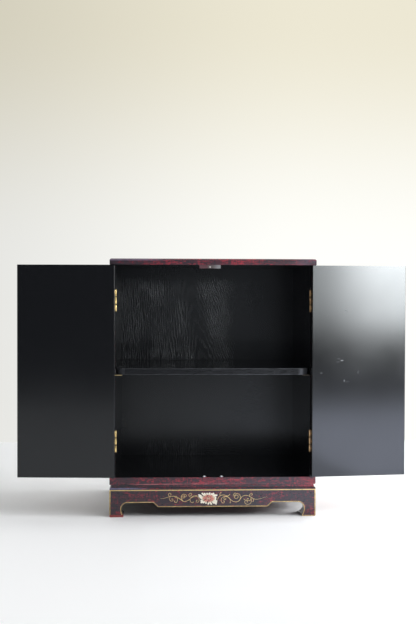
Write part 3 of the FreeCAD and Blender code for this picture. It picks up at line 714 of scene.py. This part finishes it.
def stems(name, strokes, half_width, level, flatness=0.36):
    """Tapered strokes of paint; each is a list of (x, z, thickness) in the plane of the front."""
    bpy.ops.object.select_all(action="DESELECT")
    bpy.ops.curve.primitive_bezier_curve_add(location=(0, 0, 0))
    item = bpy.context.object
    item.name = name
    item.data.splines.clear()
    item.data.bevel_depth = half_width
    item.data.bevel_resolution = 1
    item.data.resolution_u = 7
    item.data.use_fill_caps = True
    for stroke in strokes:
        spline = item.data.splines.new("BEZIER")
        spline.bezier_points.add(len(stroke) - 1)
        for point, (x, z, thick) in zip(spline.bezier_points, stroke):
            point.co = (x, level, z)
            point.handle_left_type = point.handle_right_type = "AUTO"
            point.radius = thick
    bpy.ops.object.convert(target="MESH")
    edit(item)
    bpy.ops.transform.resize(value=(1, flatness, 1), center_override=(0, level, 0))
    bpy.ops.mesh.remove_doubles(threshold=1e-6)
    bpy.ops.mesh.normals_make_consistent(inside=False)
    leave()
    return item


def oval(name, corners, width):
    """A flat oval in edit mode, a unit long from its root along +Z."""
    item = primitive("circle", name, vertices=corners, radius=0.5, fill_type="NGON", location=(0, 0, 0.5),
                     rotation=UPRIGHT)
    edit(item)
    bpy.ops.transform.resize(value=(width, 1, 1), center_override=(0, 0, 0.5))
    return item


def narrow(item, wanted, share, height):
    """Draw some points of an outline in towards its middle line."""
    choose_points(item, wanted)
    bpy.ops.transform.resize(value=(share, 1, 1), center_override=(0, 0, height))


def shift(item, wanted, rise):
    """Move some points of an outline along its length."""
    choose_points(item, wanted)
    bpy.ops.transform.translate(value=(0, 0, rise))


def swell(depth, *rims):
    """Thicken an outline, then step it in by rims, each a width and how far it lifts its middle."""
    bpy.ops.mesh.select_mode(type="FACE")
    bpy.ops.mesh.select_all(action="SELECT")
    bpy.ops.mesh.extrude_region_move(TRANSFORM_OT_translate={"value": (0, -depth, 0)})
    for width, lift in rims:
        bpy.ops.mesh.inset(thickness=width, use_even_offset=True)
        bpy.ops.transform.translate(value=lift)


def smoothed(item):
    """Leave edit mode and round the shape off."""
    leave()
    apply_modifier(item, "SUBSURF", levels=1, render_levels=1)
    return item


def petal_shape():
    """One petal, a unit long from its root along +Z, crowned, with a notched and ruffled tip."""
    item = oval("petal", 14, 0.66)
    narrow(item, lambda p: p.z < 0.28, 0.5, 0)
    shift(item, lambda p: p.z > 0.9 and abs(p.x) < 0.06, -0.17)
    shift(item, lambda p: 0.78 < p.z < 0.99 and abs(p.x) > 0.15, 0.04)
    swell(0.5, (0.07, (0, -0.5, 0)), (0.09, (0, 0.35, -0.06)))
    bpy.ops.mesh.poke()
    return smoothed(item)


def leaf_shape():
    """One leaf, a unit long along +Z, with a raised middle and a sharp tip."""
    item = oval("leaf", 12, 0.42)
    narrow(item, lambda p: p.z > 0.9, 0.12, 1)
    bpy.ops.transform.translate(value=(0, 0, 0.12))
    narrow(item, lambda p: p.z < 0.1, 0.25, 0)
    swell(0.55, (0.06, (0, -0.45, 0)))
    return smoothed(item)


def scatter(name, template, places):
    """Copies of one shape, each with its own mesh, joined into one object.

    Each place is a matrix and the reach of its two ends, kept on the copy's points for the paint."""
    copies = []
    for matrix, (root, tip) in places:
        mesh = template.data.copy()
        mesh.transform(matrix)
        mark = mesh.attributes.new("reach", "FLOAT", "POINT")
        for index, point in enumerate(template.data.vertices):
            mark.data[index].value = root + (tip - root) * max(0.0, min(1.0, point.co.z))
        item = bpy.data.objects.new(name, mesh)
        bpy.context.scene.collection.objects.link(item)
        copies.append(item)
    pick(*copies)
    bpy.ops.object.join()
    copies[0].name = name
    return copies[0]


def lying(x, z, angle, width, long, rise, level):
    """The matrix of a petal or leaf at (x, z) that points at an angle from +X."""
    turn = Matrix.Rotation(math.pi / 2 - angle, 4, "Y")
    size = Matrix.Diagonal((width, rise, long, 1.0))
    return Matrix.Translation((x, level + SEAT, z)) @ turn @ size


RINGS = (               # petals, where they start and end as shares of the flower, width, reach, height
    (18, 0.55, 1.00, 0.27, (0.62, 1.00), 0.65),
    (16, 0.50, 0.86, 0.25, (0.50, 0.78), 0.80),
    (15, 0.42, 0.74, 0.24, (0.40, 0.56), 0.95),
    (13, 0.30, 0.62, 0.24, (0.20, 0.36), 1.10),
    (9, 0.16, 0.44, 0.20, (0.12, 0.30), 1.25),
    (6, 0.00, 0.26, 0.18, (0.00, 0.08), 1.35),
)
FULLNESS = 1.35         # how much wider the petals are than would just close a ring


def peony(name, petal, centre, half_x, half_z, look, level, seed, tips=()):
    """A full-blown peony: rings of petals within an oval, the outermost ones drawn to given tips."""
    middle = Vector(centre)
    span = (half_x + half_z) / 2 * FULLNESS
    places = []

    def lay(root, tip, width, reach, rise):
        run = tip - root
        matrix = lying(*root, math.atan2(run.y, run.x), width * span, run.length,
                       look.petal_rise * rise, level)
        places.append((matrix, reach))

    first = RINGS[0]
    for tip in tips:
        lay(middle.lerp(Vector(tip), first[1]), Vector(tip), *first[3:])
    for ring, (count, start, end, width, reach, rise) in enumerate(RINGS[1:] if tips else RINGS):
        for index in range(count):
            sway = math.sin(seed + 2.7 * index + 1.9 * ring)
            angle = math.tau * (index + 0.5 * (ring % 2) + 0.22 * sway) / count
            bulge = 1.0 + 0.09 * math.sin(seed * 1.7 + 3.1 * index)
            heading = Vector((math.cos(angle) * half_x, math.sin(angle) * half_z))
            lay(middle + heading * start, middle + heading * end * bulge, width, reach, rise)
    return scatter(name, petal, places)


# Scroll on the front apron, in millimetres from the middle of the stand and from the floor.
# A stem is a list of (x, z, thickness); a tendril is (root, centre, size, turns, hand, bud).
VINE_WEIGHT = 0.78      # the vine is drawn thinner than the branches by this
LEFT_STEM = [(-45, 62, 0.9), (-54, 62.5, 1.0), (-60, 60, 1.1), (-66, 54, 1.2), (-77, 47, 1.1),
             (-86, 45.5, 1.1), (-94, 50.6, 1.7), (-103, 56.6, 1.3), (-111, 61, 1.1), (-120, 61, 1.0),
             (-126, 61, 0.9), (-134, 58, 0.8), (-143, 55.5, 0.6), (-151, 54.5, 0.45), (-157, 55, 0.2)]
RIGHT_STEM = [(13, 50.5, 0.9), (19, 59.7, 1.1), (26, 63.5, 1.1), (34, 63.8, 1.1), (41, 60.8, 1.2),
              (46, 56.8, 1.3), (53, 50, 1.1), (60, 45, 1.0), (68, 43.3, 1.1), (75, 45, 1.2), (80, 50, 1.4),
              (86, 58.5, 1.2), (92, 61.5, 1.0), (99, 62.2, 1.0), (106, 60.8, 1.1), (112, 57.5, 1.0),
              (120, 52.5, 0.9), (127, 50.8, 0.7), (134, 51, 0.6), (142, 53, 0.5), (150, 55.6, 0.4),
              (163, 58, 0.2)]
APRON_TENDRILS = [
    ((-125, 61), (-127, 66.5), 5.0, 0.95, -1, 1.0),
    ((-125, 61), (-121, 50.5), 4.6, 1.05, 1, 1.0),
    ((-114, 60), (-110, 46.5), 5.6, 0.85, -1, 2.2),
    ((-88, 46), (-82, 62), 4.6, 1.30, -1, 1.2),
    ((-84, 55), (-89, 58), 4.2, 1.05, 1, 1.0),
    ((-62, 58), (-66, 66), 4.8, 1.15, -1, 1.0),
    ((-68, 52), (-60, 44.5), 3.6, 0.60, 1, 2.0),
    ((-62, 57.5), (-46, 46.5), 5.0, 1.15, -1, 1.0),
    ((43, 59.5), (36, 52.5), 3.6, 1.05, 1, 1.0),
    ((44, 58.5), (30.5, 44), 5.2, 1.10, 1, 1.1),
    ((45, 57.5), (49, 42), 4.0, 0.45, -1, 2.0),
    ((22, 61.8), (24, 69), 3.0, 0.55, -1, 1.8),
    ((40, 61.5), (48.5, 66.3), 2.2, 0.45, 1, 2.2),
    ((81, 52), (69.5, 58.8), 7.6, 1.55, 1, 1.0),
    ((60, 61), (66, 68), 2.6, 0.45, -1, 1.8),
    ((113, 57), (104, 50.5), 4.2, 1.05, -1, 1.0),
    ((113, 56.5), (98.7, 43), 6.0, 1.20, -1, 1.1),
    ((97, 49), (93.3, 51.8), 1.8, 0.50, -1, 2.0),
    ((110, 59), (114.4, 65), 3.6, 0.95, -1, 0.9),
    ((116, 55.5), (117, 46), 4.6, 0.50, -1, 0.7),
]
APRON_FLOWER = (-13.5, 54.0, 27.0, 17.5)        # x, z, half width, half height
APRON_TIPS = [(-45, 66), (-44, 61), (-41, 57.5), (-34.5, 71), (-26.5, 71), (-18, 71.5), (-9, 72.5),
              (-2, 70), (4, 71), (9, 66), (14.5, 65), (11, 57.5), (10, 51), (14.5, 45), (13.5, 40),
              (12.5, 35.5), (5, 38.5), (-3.4, 34.5), (-13.5, 34.5), (-22, 37.5), (-30.5, 39.5),
              (-37.5, 40), (-38, 46), (-34, 50)]

# Flowering branch on a door or side, in millimetres from its middle and from its lower edge,
# drawn for the right-hand one and mirrored for the left-hand one.
BRANCH = [(78, 70, 1.9), (58, 120, 1.9), (20, 170, 1.8), (-18, 225, 1.7), (-34, 290, 1.6), (-12, 350, 1.5),
          (28, 400, 1.3), (46, 455, 1.1), (30, 510, 0.9), (6, 548, 0.6)]
TWIGS = [
    [(56, 124, 1.4), (84, 160, 1.1), (92, 205, 0.8), (84, 236, 0.5)],
    [(-8, 208, 1.4), (-52, 214, 1.0), (-84, 190, 0.8), (-98, 154, 0.4)],
    [(-33, 292, 1.3), (-66, 330, 1.0), (-80, 378, 0.7), (-74, 414, 0.4)],
    [(20, 390, 1.2), (60, 392, 0.9), (88, 366, 0.5)],
    [(44, 448, 1.0), (76, 476, 0.8), (90, 516, 0.4)],
    [(36, 496, 0.9), (-8, 496, 0.7), (-44, 520, 0.4)],
]
BRANCH_TENDRILS = [
    ((-28, 250), (-8, 262), 9.0, 1.2, -1, 1.2),
    ((92, 205), (104, 190), 9.0, 1.2, -1, 1.2),
    ((-80, 378), (-98, 384), 9.0, 1.2, 1, 1.2),
    ((28, 400), (4, 412), 9.0, 1.2, 1, 1.2),
    ((46, 455), (66, 440), 8.0, 1.2, -1, 1.2),
    ((-8, 496), (-18, 476), 8.0, 1.2, 1, 1.2),
    ((6, 548), (16, 566), 8.0, 1.1, -1, 1.2),
    ((-98, 154), (-92, 134), 8.0, 1.1, 1, 1.2),
]
BRANCH_FLOWERS = ((-30, 268, 47.0, 41.0), (42, 430, 36.0, 33.0), (80, 250, 24.0, 22.0))
LEAVES = (               # x, z, heading in degrees, length
    (66, 104, 20, 40), (40, 146, 205, 38), (10, 186, 20, 36), (-20, 214, 245, 34), (-60, 214, 150, 34),
    (-88, 184, 210, 32), (-96, 160, 265, 30), (-50, 314, 70, 36), (-70, 340, 190, 34), (-80, 384, 60, 32),
    (-76, 410, 110, 34), (6, 372, 150, 36), (48, 394, 330, 34), (76, 380, 20, 30), (88, 368, 300, 30),
    (58, 462, 350, 32), (76, 478, 95, 30), (89, 510, 60, 32), (28, 512, 35, 32), (-14, 498, 120, 32),
    (-40, 518, 190, 32), (8, 546, 150, 34), (84, 180, 10, 32), (92, 214, 130, 28), (78, 74, 320, 36),
    (70, 84, 215, 36),
)
RIGHT_DOOR_SCUFFS = (    # x, z, half length, half height, strength
    (0.3800, 0.4630, 0.0050, 0.0012, 0.9),
    (0.3700, 0.4680, 0.0055, 0.0008, 0.25),
    (0.3680, 0.4590, 0.0060, 0.0007, 0.18),
    (0.3170, 0.4265, 0.0040, 0.0016, 0.22),
    (0.3865, 0.4030, 0.0012, 0.0045, 0.7),
    (0.3960, 0.4000, 0.0060, 0.0012, 0.12),
    (0.4290, 0.4280, 0.0020, 0.0045, 0.15),
    (0.3920, 0.6110, 0.0055, 0.0012, 0.30),
)


def placed(points, origin=(0, 0), mirror=1):
    """Points in millimetres, placed in metres; what follows x and z in a point is kept."""
    return [(origin[0] + mirror * x * MM, origin[1] + z * MM, *rest) for x, z, *rest in points]


def flowering_branch(name, petal, leaf, low, high, mirror, look, seed):
    """The branch with its leaves and flowers: the gilded objects and the flower objects."""
    level = low.y
    where = ((low.x + high.x) / 2, low.z), mirror
    strokes = [BRANCH, *TWIGS, *(spiral(*tendril) for tendril in BRANCH_TENDRILS)]
    gold = stems(f"{name}_branch", [placed(stroke, *where) for stroke in strokes], look.stem, level, 0.3)
    places = []
    for x, z, heading, long in placed(LEAVES, *where):
        angle = math.radians(heading if mirror > 0 else 180 - heading)
        places.append((lying(x, z, angle, long * MM, long * MM, look.petal_rise * 0.6, level), (1, 1)))
    leaves = scatter(f"{name}_leaves", leaf, places)
    flowers = [peony(f"{name}_flower_{index + 1}", petal, (x, z), half_x * MM, half_z * MM, look, level,
                     seed + index)
               for index, (x, z, half_x, half_z) in enumerate(placed(BRANCH_FLOWERS, *where))]
    return [gold, leaves], flowers


def decorate(look, group, panels):
    """A gold border and a flowering branch on each panel, which is drawn as if it stood in the front.

    A panel is its name, body, lowest and highest corner, mirroring, seed and the turn to its place."""
    petal = petal_shape()
    leaf = leaf_shape()
    gold = gold_paint(f"gold_{group}", look)
    petals = petal_paint(f"petals_{group}", look)
    edge = Vector((look.border_inset, 0, look.border_inset))
    for name, body, low, high, mirror, seed, turn in panels:
        line = border(f"{name}_border", low + edge, high - edge, look)
        gilded, flowers = flowering_branch(name, petal, leaf, low, high, mirror, look, seed)
        for piece in [line, *gilded]:
            finish_piece(piece, gold, body, turn)
        for piece in flowers:
            finish_piece(piece, petals, body, turn)
    for shape in (petal, leaf):
        bpy.data.objects.remove(shape)


def paint(material, *names):
    """Give parts of the frame their material."""
    for name in names:
        for slot in frame["nodes"][name].material_slots:
            slot.material = material


# ---- operators
class CABINET_OT_lacquer(bpy.types.Operator):
    """Lacquer the boards, the doors and the stand."""

    bl_idname = "cabinet.lacquer"
    bl_label = "Lacquer the Woodwork"

    def execute(self, context):
        look = context.scene.cabinet_finish
        paint(two_coats("lacquer_top", look, under_top, stretch=1.7, thick=thick_on_the_left,
                        edge=upper_edge_highlight), "top_panel")
        paint(two_coats("lacquer_base", look, case_floor, thick=thin_on_the_right, edge=lower_edge_highlight),
              "base_panel")
        # A grey patch on the left inner wall at the shelf's height, which lightens the dark gap beside the
        # shelf's front corner.
        rubbed = ((-SIDE_IN, SHELF_Z, 0.0012, 0.009, 0.18),)
        paint(two_coats("lacquer_sides", look, inner_wall, scuffs=rubbed),
              "left_side_panel", "right_side_panel")
        ends = ("front", "back", "left", "right")
        paint(shaded_cove("lacquer_cove_painted_shade", look), *(f"cove_{end}_strip" for end in ends))
        paint(stand_coats("lacquer_stand", look), *(f"stand_{end}_rail" for end in ends))
        paint(black_lacquer("lacquer_legs", look),
              *(f"stand_{end}_{side}_leg_block" for end in ("front", "back") for side in SIDES))
        paint(shelf_painted_highlights("lacquer_shelf_painted_highlights", look), "shelf")
        paint(grained_black("lacquer_back", look), "back_panel")
        for side, s in SIDES.items():
            front = shut_box(side)[0].y
            back = door_turn(side).inverted()
            place = {"turn": back.to_euler(), "shift": back.translation}
            paint(two_coats(f"lacquer_{side}_door", look, lambda f: f.axes()[1] > front + 4 * SKIN, place,
                            scuffs=RIGHT_DOOR_SCUFFS if s > 0 else ()), f"{side}_door_panel")
        paint(bare_wood("wood_dowels", look), "case_dowels")
        return {"FINISHED"}


class CABINET_OT_metalwork(bpy.types.Operator):
    """Polish the hinges, pulls, shelf strips, catches and screws."""

    bl_idname = "cabinet.metalwork"
    bl_label = "Polish the Metalwork"

    def execute(self, context):
        look = context.scene.cabinet_finish
        brass, patina = look.brass, look.patina
        # Painted shade: the right shelf strip is given a much darker copy of the brass than the left one.
        left_strip, right_strip_painted_shade = (0.42, 0.33, 0.18, 1.0), (0.11, 0.098, 0.08, 1.0)
        # Painted highlight: the catch balls are a pale bluish white, partly matt, so that the lamps make
        # them bright as their shine would.
        ball, cloudy = (0.90, 0.94, 1.0, 1.0), (0.86, 0.9, 1.0, 1.0)
        kinds = [(hinge_brass(f"brass_{level}_hinges", look, f"right_{level}_hinge_pin"),
                  [f"{level}_{part}" for part in ("case_leaf", "door_leaf", "hinge_pin")])
                 for level in ("upper", "lower")]
        kinds += [
            (stop_steel("steel_stop_painted_reflection"), ["door_stop"]),
            (metal("brass_strikes", brass, patina, 0.26, 0.4), ["hinge_screws", "support_screws", "strike"]),
            (metal("brass_strip_left", left_strip, patina, 0.34, 0.48), ["left_shelf_support"]),
            (metal("brass_strip_right_painted_shade", right_strip_painted_shade, patina, 0.34, 0.48), ["right_shelf_support"]),
            (metal("brass_pulls", brass, patina, 0.26, 0.42, 160), ["pull_plate", "pull_post", "pull_drop"]),
            (metal("steel_balls", ball, cloudy, 0.3, 0.4, metallic=0.4), ["catch_ball"]),
            (metal("steel_plate", look.steel, look.stain, 0.22, 0.4),
             ["barrel", "back_panel_pins", "stand_screws"]),
        ]
        for name in frame["nodes"]:
            fitting = [material for material, parts in kinds if any(part in name for part in parts)]
            if fitting:
                paint(fitting[0], name)
        return {"FINISHED"}


class CABINET_OT_catch_springs(bpy.types.Operator):
    """Wind a coil for each catch spring, in place of the frame's spring."""

    bl_idname = "cabinet.catch_springs"
    bl_label = "Wind the Catch Springs"

    def execute(self, context):
        look = context.scene.cabinet_finish
        wire = metal("steel_springs", look.steel, look.stain, 0.22, 0.4)
        steps = TURN_STEPS * SPRING_TURNS
        for side in SIDES:
            node = f"{side}_catch_spring"
            low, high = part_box(node)
            middle = (low + high) / 2
            tall = high.z - low.z
            coil_r = (high.x - low.x) / 2 - look.spring_wire
            item = primitive("circle", f"{side}_catch_coil", vertices=12, radius=look.spring_wire,
                             fill_type="NGON", location=(coil_r, 0, 0), rotation=UPRIGHT)
            apply_modifier(item, "SCREW", angle=math.tau * SPRING_TURNS, steps=steps, render_steps=steps,
                           screw_offset=tall - 2 * look.spring_wire)
            edit(item)
            bpy.ops.mesh.normals_make_consistent(inside=False)
            leave()
            place = Matrix.Translation((middle.x, middle.y, low.z + look.spring_wire))
            finish_piece(item, wire, "case", place)
            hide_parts(node)
            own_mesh(item)
        return {"FINISHED"}


class CABINET_OT_stand_lines(bpy.types.Operator):
    """Draw the gold lines round the front and sides of the stand."""

    bl_idname = "cabinet.stand_lines"
    bl_label = "Gild the Stand"

    def execute(self, context):
        look = context.scene.cabinet_finish
        gold = gold_paint("gold_lines", look, STAND_TOP / 2)
        top = STAND_TOP - look.top_line_drop
        faces = {"front": FORWARD, "left": Vector((-1, 0, 0)), "right": Vector((1, 0, 0))}

        def worn(point):
            return point.z < look.worn_height and point.x < -HALF_W / 2 and point.y < FRONT + RUBBED_BACK

        for end, facing in faces.items():
            line = traced_line(f"stand_{end}_rail", f"gold_line_{end}_rail", facing, look, top, worn)
            finish_piece(line, gold, "case")
        return {"FINISHED"}


class CABINET_OT_apron_scroll(bpy.types.Operator):
    """Paint the scrolling vine on the front apron."""

    bl_idname = "cabinet.apron_scroll"
    bl_label = "Paint the Apron Scroll"

    def execute(self, context):
        look = context.scene.cabinet_finish
        strokes = [[(x, z, thick * VINE_WEIGHT) for x, z, thick in stem] for stem in (LEFT_STEM, RIGHT_STEM)]
        strokes += [spiral(*tendril) for tendril in APRON_TENDRILS]
        vine = stems("apron_scroll", [placed(stroke) for stroke in strokes], look.stem, FRONT)
        finish_piece(vine, gold_paint("gold_scroll", look), "case")
        return {"FINISHED"}


class CABINET_OT_apron_peony(bpy.types.Operator):
    """Model the peony in the middle of the front apron."""

    bl_idname = "cabinet.apron_peony"
    bl_label = "Model the Apron Peony"

    def execute(self, context):
        look = context.scene.cabinet_finish
        petal = petal_shape()
        x, z, half_x, half_z = (value * MM for value in APRON_FLOWER)
        flower = peony("apron_peony", petal, (x, z), half_x, half_z, look, FRONT, 0.6, placed(APRON_TIPS))
        finish_piece(flower, petal_paint("petals_apron", look), "case")
        bpy.data.objects.remove(petal)
        return {"FINISHED"}


class CABINET_OT_door_ornament(bpy.types.Operator):
    """Draw a gold border and a flowering branch on the outer face of each door."""

    bl_idname = "cabinet.door_ornament"
    bl_label = "Decorate the Doors"

    def execute(self, context):
        panels = []
        for side, s in SIDES.items():
            low, high = shut_box(side)
            high.y = low.y
            panels.append((f"{side}_door", f"{side}_door", low, high, s, 1.3 * s, door_turn(side)))
        decorate(context.scene.cabinet_finish, "doors", panels)
        return {"FINISHED"}


class CABINET_OT_side_ornament(bpy.types.Operator):
    """Draw a gold border and a flowering branch on each side of the case."""

    bl_idname = "cabinet.side_ornament"
    bl_label = "Decorate the Sides"

    def execute(self, context):
        half = (BACK - FRONT) / 2
        low, high = Vector((-half, 0, FLOOR_Z)), Vector((half, 0, CEILING_Z))
        panels = []
        for side, s in SIDES.items():
            place = Matrix.Translation((s * SIDE_OUT, (FRONT + BACK) / 2, 0))
            turn = place @ Matrix.Rotation(s * math.pi / 2, 4, "Z")
            panels.append((f"{side}_side", "case", low, high, s, 2.1 * s, turn))
        decorate(context.scene.cabinet_finish, "sides", panels)
        return {"FINISHED"}


def lamp(name, place, aim, size, power, glossy=False):
    """A rectangular soft light that faces a point and isn't seen itself, or only as shine."""
    data = bpy.data.lights.new(name, "AREA")
    data.shape = "RECTANGLE"
    data.size, data.size_y = size
    data.energy = power
    item = bpy.data.objects.new(name, data)
    bpy.context.scene.collection.objects.link(item)
    item.location = place
    item.rotation_euler = (Vector(aim) - Vector(place)).to_track_quat("-Z", "Y").to_euler()
    item.visible_camera = False
    item.visible_glossy = glossy


def sheet_of(name, centre, size, turn, material):
    """A flat rectangle of the stage."""
    item = rectangle(name, centre, size, turn)
    item.data.materials.append(material)
    return item


ROOM = (0.15, 0.158, 0.18, 1.0)      # tone of the dark room in the shine


def seen_directly(f):
    """One for camera, mirror and glass rays, nothing for the rays that carry light."""
    path = f.add("ShaderNodeLightPath")
    return path.out("Is Camera Ray") | path.out("Is Glossy Ray") | path.out("Is Transmission Ray")


class CABINET_OT_stage(bpy.types.Operator):
    """Set up the floor, the wall, the lamps and the camera."""

    bl_idname = "cabinet.stage"
    bl_label = "Set Up the Stage"

    def execute(self, context):
        stage = context.scene.cabinet_stage
        self.build_floor(stage)
        self.build_wall(stage)
        self.build_shine(stage)
        self.build_world(context, stage)
        self.hang_lamps(stage)
        self.place_camera(context, stage)
        context.scene.view_settings.view_transform = "Standard"
        return {"FINISHED"}

    def build_floor(self, stage):
        """A matt floor that turns to plain background away from the cabinet."""
        f = Finish("floor")
        cloud = f.noise(1.3, 3.0, 0.5)
        base = f.mix(cloud * 0.12, stage.floor, (0.85, 0.86, 0.88, 1.0))
        near = f.add("ShaderNodeBsdfPrincipled", {"Base Color": base, "Roughness": 0.6,
                                                  "Specular IOR Level": 0.2})
        x, y, _ = f.axes()
        round_about = f.ramp((x * x + y * y).math("SQRT"), 1.8, 3.0)
        # Just in front of the cabinet the floor is lifted up to halfway towards the plain glow where it is
        # seen: painted light that thins the shade there.
        away = round_about | f.ramp(y, 1.2, 1.3) | f.ramp(y, -0.19, -0.42, 0.0, 0.55)
        f.surface(f.either(away * seen_directly(f), near, f.glow((0.93, 0.935, 0.94, 1.0))))
        sheet_of("floor_sheet", (0, 0, 0), (16, 16), (0, 0, 0), f.material)

    def build_wall(self, stage):
        """A wall that glows where it is seen, with painted shade that darkens it towards the left, and is
        clear from behind.
        """
        f = Finish("wall")
        x, _, z = f.axes()
        tone = f.mix(f.ramp(z, 0.75, 1.9), stage.wall_low, stage.wall_high)
        # Painted shade: the wall's glow darkens towards the left.
        shade = f.add("ShaderNodeCombineColor", dict.fromkeys(range(3), f.ramp(x, -1.3, 0.6, 0.80, 1.06)))
        matt = f.add("ShaderNodeBsdfDiffuse", {"Color": stage.wall_low})
        face = f.either(seen_directly(f), matt, f.glow(f.mix(1.0, tone, shade, "MULTIPLY")))
        behind = f.add("ShaderNodeNewGeometry", output="Backfacing")
        f.surface(f.either(behind, face, f.add("ShaderNodeBsdfTransparent")))
        sheet_of("wall_sheet", (0, stage.wall, 2.5), (16, 5), UPRIGHT, f.material)

    def build_shine(self, stage):
        """What only shiny surfaces see: a dark room, a curtained window and the bright floor under it."""
        facing_back = (-math.pi / 2, 0, 0)
        sky = (0.84, 0.865, 1.0, 1.0)
        for name, tone, strength, centre, size, turn in (
            ("room", self.room_tone, 1.0, (-2.2, -3.2, 1.5), (6.6, 3.0), facing_back),
            ("sill", lambda f: ROOM, 1.0, (2.6, -3.2, 0.25), (3.0, 0.42), facing_back),
            ("bright_floor", lambda f: sky, stage.glow, (1.4, -1.65, 0.01), (1.5, 2.0), (0, 0, 0)),
            ("near_floor", self.near_floor_tone, stage.glow, (0.2, -0.6, 0.01), (0.8, 0.7), (0, 0, 0)),
            ("window", self.window_tone, stage.key, (1.95, -3.1, 0.75), (1.6, 1.0), facing_back),
        ):
            f = Finish(f"{name}_shine")
            f.surface(f.glow(tone(f), strength))
            sheet = sheet_of(f"{name}_sheet", centre, size, turn, f.material)
            sheet.visible_camera = sheet.visible_diffuse = sheet.visible_shadow = False

    def room_tone(self, f):
        """The dark room, a little lighter beside the window."""
        return f.mix(f.ramp(f.axes()[0], -0.05, 0.4), ROOM, (0.34, 0.355, 0.38, 1.0))

    def window_tone(self, f):
        """A bright pane that fades towards its sill, and a curtain to its left."""
        x, _, z = f.axes()
        rise = f.ramp(z, 0.34, 0.56, 0.0, 0.70) + f.ramp(z, 0.56, 0.95, 0.0, 0.30)
        pane = f.ramp(x, 1.53, 1.80, 0.24, 1.0) * f.ramp(x, 1.15, 1.3)
        return f.mix(rise * pane, (0, 0, 0, 1.0), (0.965, 0.975, 0.955, 1.0))

    def near_floor_tone(self, f):
        """The floor before the cabinet, lighter towards the window."""
        return f.mix(f.ramp(f.axes()[0], -0.2, 0.35), (0.17, 0.18, 0.19, 1.0), (0.44, 0.46, 0.52, 1.0))

    def build_world(self, context, stage):
        """A pale room that is seen at full strength and lights the object faintly."""
        f = Finish("room", bpy.data.worlds.new("room"))
        level = f.blend(seen_directly(f), stage.fill, 1.0)
        shader = f.add("ShaderNodeBackground", {"Color": (0.96, 0.96, 0.94, 1.0), "Strength": level})
        f.add("ShaderNodeOutputWorld", {"Surface": shader})
        context.scene.world = f.material

    def hang_lamps(self, stage):
        """The three lamps that carry the light; only the one overhead shows as shine."""
        lamp("slant_light", (2.4, -2.0, 2.1), (0.0, -0.1, 0.3), (2.0, 1.6), stage.slant)
        lamp("side_light", (5.0, -0.3, 1.75), (0.2, 0.0, 0.0), (3.0, 1.5), stage.beside)
        lamp("ceiling_light", (0.0, -0.3, 3.0), (0, 0, 0.4), (3.0, 2.8), stage.ceiling, glossy=True)

    def place_camera(self, context, stage):
        """The camera at its place, turned, tilted and rolled."""
        data = bpy.data.cameras.new("camera")
        data.lens = stage.lens
        item = bpy.data.objects.new("camera", data)
        context.scene.collection.objects.link(item)
        item.matrix_world = (Matrix.Translation(stage.eye) @ Matrix.Rotation(-stage.yaw, 4, "Z")
                             @ Matrix.Rotation(math.pi / 2 + stage.pitch, 4, "X")
                             @ Matrix.Rotation(stage.roll, 4, "Z"))
        context.scene.camera = item


class CABINET_PT_sidebar(bpy.types.Panel):
    """Lists the steps and the settings of the cabinet."""

    bl_idname = "CABINET_PT_sidebar"
    bl_label = "Cabinet"
    bl_space_type = "VIEW_3D"
    bl_region_type = "UI"
    bl_category = "Cabinet"

    def draw(self, context):
        for operator in STEPS:
            self.layout.operator(operator.bl_idname)
        for group in (context.scene.cabinet_finish, context.scene.cabinet_stage):
            for name in group.bl_rna.properties.keys():
                if name not in ("rna_type", "name"):
                    self.layout.prop(group, name)


STEPS = (CABINET_OT_lacquer, CABINET_OT_metalwork, CABINET_OT_catch_springs, CABINET_OT_stand_lines,
         CABINET_OT_apron_scroll, CABINET_OT_apron_peony, CABINET_OT_door_ornament,
         CABINET_OT_side_ornament, CABINET_OT_stage)
CLASSES = (CabinetFinish, CabinetStage, *STEPS, CABINET_PT_sidebar)


def register():
    for item in CLASSES:
        bpy.utils.register_class(item)
    bpy.types.Scene.cabinet_finish = bpy.props.PointerProperty(type=CabinetFinish)
    bpy.types.Scene.cabinet_stage = bpy.props.PointerProperty(type=CabinetStage)


def unregister():
    del bpy.types.Scene.cabinet_stage
    del bpy.types.Scene.cabinet_finish
    for item in reversed(CLASSES):
        bpy.utils.unregister_class(item)


def main():
    register()
    for operator in STEPS:
        area, _, name = operator.bl_idname.partition(".")
        getattr(getattr(bpy.ops, area), name)()


if __name__ == "__main__":
    main()
